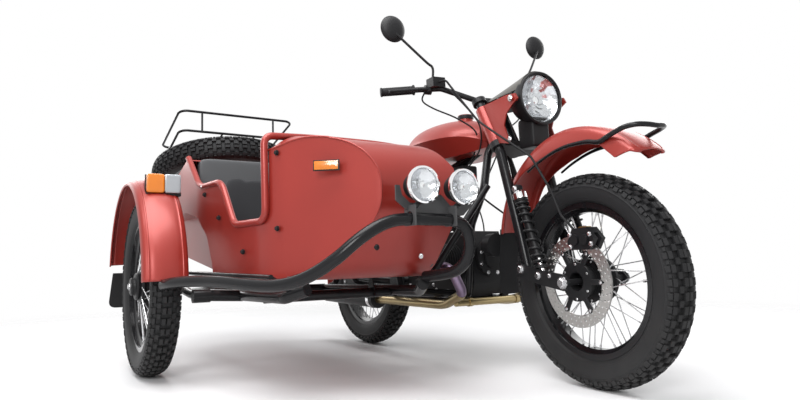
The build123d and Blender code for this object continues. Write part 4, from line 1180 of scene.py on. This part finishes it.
class SIDECAR_OT_controls(bpy.types.Operator):
    """Mirrors and grips on the handlebar"""
    bl_idname = "sidecar.controls"
    bl_label = "Handlebar Controls"

    def execute(self, context):
        self.mirrors()
        self.grips()
        return {"FINISHED"}

    def mirrors(self):
        shells, glasses, stems = [], [], []
        # y of the stem's foot, then the middle of the glass
        for foot, x, y, z in [(-235, 925, -385, 1352), (235, 868, 395, 1383)]:
            face = lambda shape: along(shape, (x, y, z), (1, 0, 0))
            shells.append(face(lathe([(0, 17), (16, 16.5), (32, 13), (45, 6), (52, -2), (54, -6), (53, -8),
                                      (50, -6), (0, -6)], 56)))
            glasses.append(face(lathe([(0, -6.4), (50, -6.6), (50, -5), (0, -5)], 48)))
            route = flowing([(957, foot, 1124), (957, foot, 1160), (957, foot, 1200),
                             (954, foot + (y - foot) * 0.2, 1224), (x + 10, y, z - 20)], 8)
            stems.append(tube(route, 5, 12))
        build("mirror_shells", steered(joined(*shells, *stems)), "fork", "black_plastic",
              ["mirrors"])
        build("mirror_glasses", steered(joined(*glasses)), "fork", "chrome")

    def grips(self):
        start, end = np.array([902, 292, 1118.0]), np.array([855, 421, 1109.8])
        length = np.linalg.norm(end - start)
        height = np.linspace(10, length - 8, 60)
        ribs = [(16.2 + 0.9 * (k % 2), z) for k, z in enumerate(height)]
        outline = [(0, 0), (20, 0), (21, 3), (20, 7), (16.5, 9), *ribs, (18, length - 6), (19, length - 3),
                   (17, length), (0, length)]
        grip = along(lathe(outline, 32), start, end - start)
        build("grip_rubbers", steered(both(grip)), "fork", "black_rubber", ["grips"], sharp=50)


class SIDECAR_OT_stage(bpy.types.Operator):
    """The floor, the soft lights and the camera"""
    bl_idname = "sidecar.stage"
    bl_label = "Studio"

    def execute(self, context):
        studio = context.scene.sidecar_studio
        self.camera(context, studio)
        self.floor(context)
        self.surroundings(context, studio)
        self.lights(context, studio)
        context.scene.view_settings.view_transform = "Standard"
        return {"FINISHED"}

    def camera(self, context, studio):
        yaw, pitch = math.radians(CAMERA_YAW), math.radians(CAMERA_PITCH)
        forward = np.array([math.cos(pitch) * math.cos(yaw), math.cos(pitch) * math.sin(yaw), math.sin(pitch)])
        level = np.cross(forward, [0, 0, 1])
        level /= np.linalg.norm(level)
        turn = rotation(forward, CAMERA_ROLL)
        right = turn @ level
        up = np.cross(right, forward)
        data = bpy.data.cameras.new("studio_camera")
        data.sensor_width = 36
        data.lens = studio.lens
        data.clip_end = 100
        place = np.array(CAMERA_PLACE) * MM + GROUND
        context.scene.camera = self.stand(context, data, np.stack([right, up, -forward], 1), place)

    def floor(self, context):
        points, quads = lathe([(0, 0), (2000, 0), (4000, 0), (6500, 0), (9000, 0), (12000, 0)], 96)
        mesh = bpy.data.meshes.new("studio_floor")
        mesh.from_pydata((points * MM).tolist(), [], quads.tolist())
        floor = bpy.data.objects.new("studio_floor", mesh)
        context.scene.collection.objects.link(floor)
        mesh.materials.append(self.floor_paint())

    def floor_paint(self):
        """A pale floor that fades into the white surroundings with distance."""
        material = bpy.data.materials.new("pale_floor")
        material.use_nodes = True
        tree = material.node_tree
        shader = tree.nodes["Principled BSDF"]
        shader.inputs["Base Color"].default_value = (0.86, 0.86, 0.87, 1)
        shader.inputs["Roughness"].default_value = 0.6
        place = add(tree, "TexCoord")
        length = add(tree, "VectorMath", operation="LENGTH")
        fade = add(tree, "MapRange", {"From Min": 1.6, "From Max": 4.5}, interpolation_type="SMOOTHSTEP")
        clear = add(tree, "BsdfTransparent")
        mix = add(tree, "MixShader")
        wire(tree, (place.outputs["Object"], length.inputs[0]), (length.outputs["Value"], fade.inputs["Value"]),
             (fade.outputs["Result"], mix.inputs["Fac"]), (shader.outputs["BSDF"], mix.inputs[1]),
             (clear.outputs["BSDF"], mix.inputs[2]),
             (mix.outputs["Shader"], tree.nodes["Material Output"].inputs["Surface"]))
        return material

    def surroundings(self, context, studio):
        """A soft world light that shows as white to the camera, through glass and in reflections."""
        world = context.scene.world = bpy.data.worlds.new("studio_world")
        world.use_nodes = True
        tree = world.node_tree
        surround = tree.nodes["Background"]
        surround.inputs["Color"].default_value = (1, 1, 1, 1)
        surround.inputs["Strength"].default_value = studio.world_strength
        white = add(tree, "Background", {"Color": (1, 1, 1, 1), "Strength": 1})
        path = add(tree, "LightPath")
        either = add(tree, "Math", operation="MAXIMUM")
        any_of = add(tree, "Math", operation="MAXIMUM")
        mix = add(tree, "MixShader")
        wire(tree, (path.outputs["Is Camera Ray"], either.inputs[0]),
             (path.outputs["Is Transmission Ray"], either.inputs[1]), (either.outputs[0], any_of.inputs[0]),
             (path.outputs["Is Glossy Ray"], any_of.inputs[1]), (any_of.outputs[0], mix.inputs["Fac"]),
             (surround.outputs["Background"], mix.inputs[1]), (white.outputs["Background"], mix.inputs[2]),
             (mix.outputs["Shader"], tree.nodes["World Output"].inputs["Surface"]))

    def lights(self, context, studio):
        # name, place, size, share of the key light's power
        table = [("overhead", (0.6, -0.9, 3.0), 2.2, 0.95), ("front_side", (3.4, -2.9, 2.1), 1.4, 0.9),
                 ("far_side", (-0.5, 3.5, 2.4), 2.2, 0.45), ("behind", (-3.6, -0.8, 2.2), 1.8, 0.35)]
        for name, place, size, share in table:
            data = bpy.data.lights.new(name, "AREA")
            data.energy = studio.key_power * share
            data.size = size
            self.stand(context, data, frames_along(np.array(place) - LAMP_TARGET)[0], place)

    def stand(self, context, data, turn, place):
        """An object for a lamp or a camera, turned by a matrix and set at a place in metres."""
        piece = bpy.data.objects.new(data.name, data)
        context.scene.collection.objects.link(piece)
        matrix = np.eye(4)
        matrix[:3, :3], matrix[:3, 3] = turn, place
        piece.matrix_world = Matrix(matrix.tolist())
        return piece


class SIDECAR_PT_panel(bpy.types.Panel):
    bl_label = "Sidecar Motorcycle"
    bl_idname = "SIDECAR_PT_panel"
    bl_space_type = "VIEW_3D"
    bl_region_type = "UI"
    bl_category = "Sidecar"

    def draw(self, context):
        for settings in ("sidecar_paint", "sidecar_wheels", "sidecar_pads", "sidecar_studio"):
            group_of = getattr(context.scene, settings)
            for name in group_of.bl_rna.properties.keys():
                if name not in ("rna_type", "name"):
                    self.layout.prop(group_of, name)
        for operator in OPERATORS:
            self.layout.operator(operator.bl_idname)


SETTINGS = {"sidecar_paint": SidecarPaint, "sidecar_wheels": SidecarWheels, "sidecar_pads": SidecarPads,
            "sidecar_studio": SidecarStudio}
OPERATORS = [SIDECAR_OT_finishes, SIDECAR_OT_tyres, SIDECAR_OT_wheels, SIDECAR_OT_shocks, SIDECAR_OT_guards,
             SIDECAR_OT_bodywork, SIDECAR_OT_lamps, SIDECAR_OT_hardware, SIDECAR_OT_controls, SIDECAR_OT_cables,
             SIDECAR_OT_pads, SIDECAR_OT_stage]


def register():
    for kind in [*SETTINGS.values(), *OPERATORS, SIDECAR_PT_panel]:
        bpy.utils.register_class(kind)
    for name, kind in SETTINGS.items():
        setattr(bpy.types.Scene, name, PointerProperty(type=kind))


def unregister():
    for name in SETTINGS:
        delattr(bpy.types.Scene, name)
    for kind in reversed([*SETTINGS.values(), *OPERATORS, SIDECAR_PT_panel]):
        bpy.utils.unregister_class(kind)


def main():
    register()
    bpy.ops.sidecar.finishes()
    bpy.ops.sidecar.tyres()
    bpy.ops.sidecar.wheels()
    bpy.ops.sidecar.shocks()
    bpy.ops.sidecar.guards()
    bpy.ops.sidecar.bodywork()
    bpy.ops.sidecar.lamps()
    bpy.ops.sidecar.hardware()
    bpy.ops.sidecar.controls()
    bpy.ops.sidecar.cables()
    bpy.ops.sidecar.pads()
    bpy.ops.sidecar.stage()


if __name__ == "__main__":
    main()
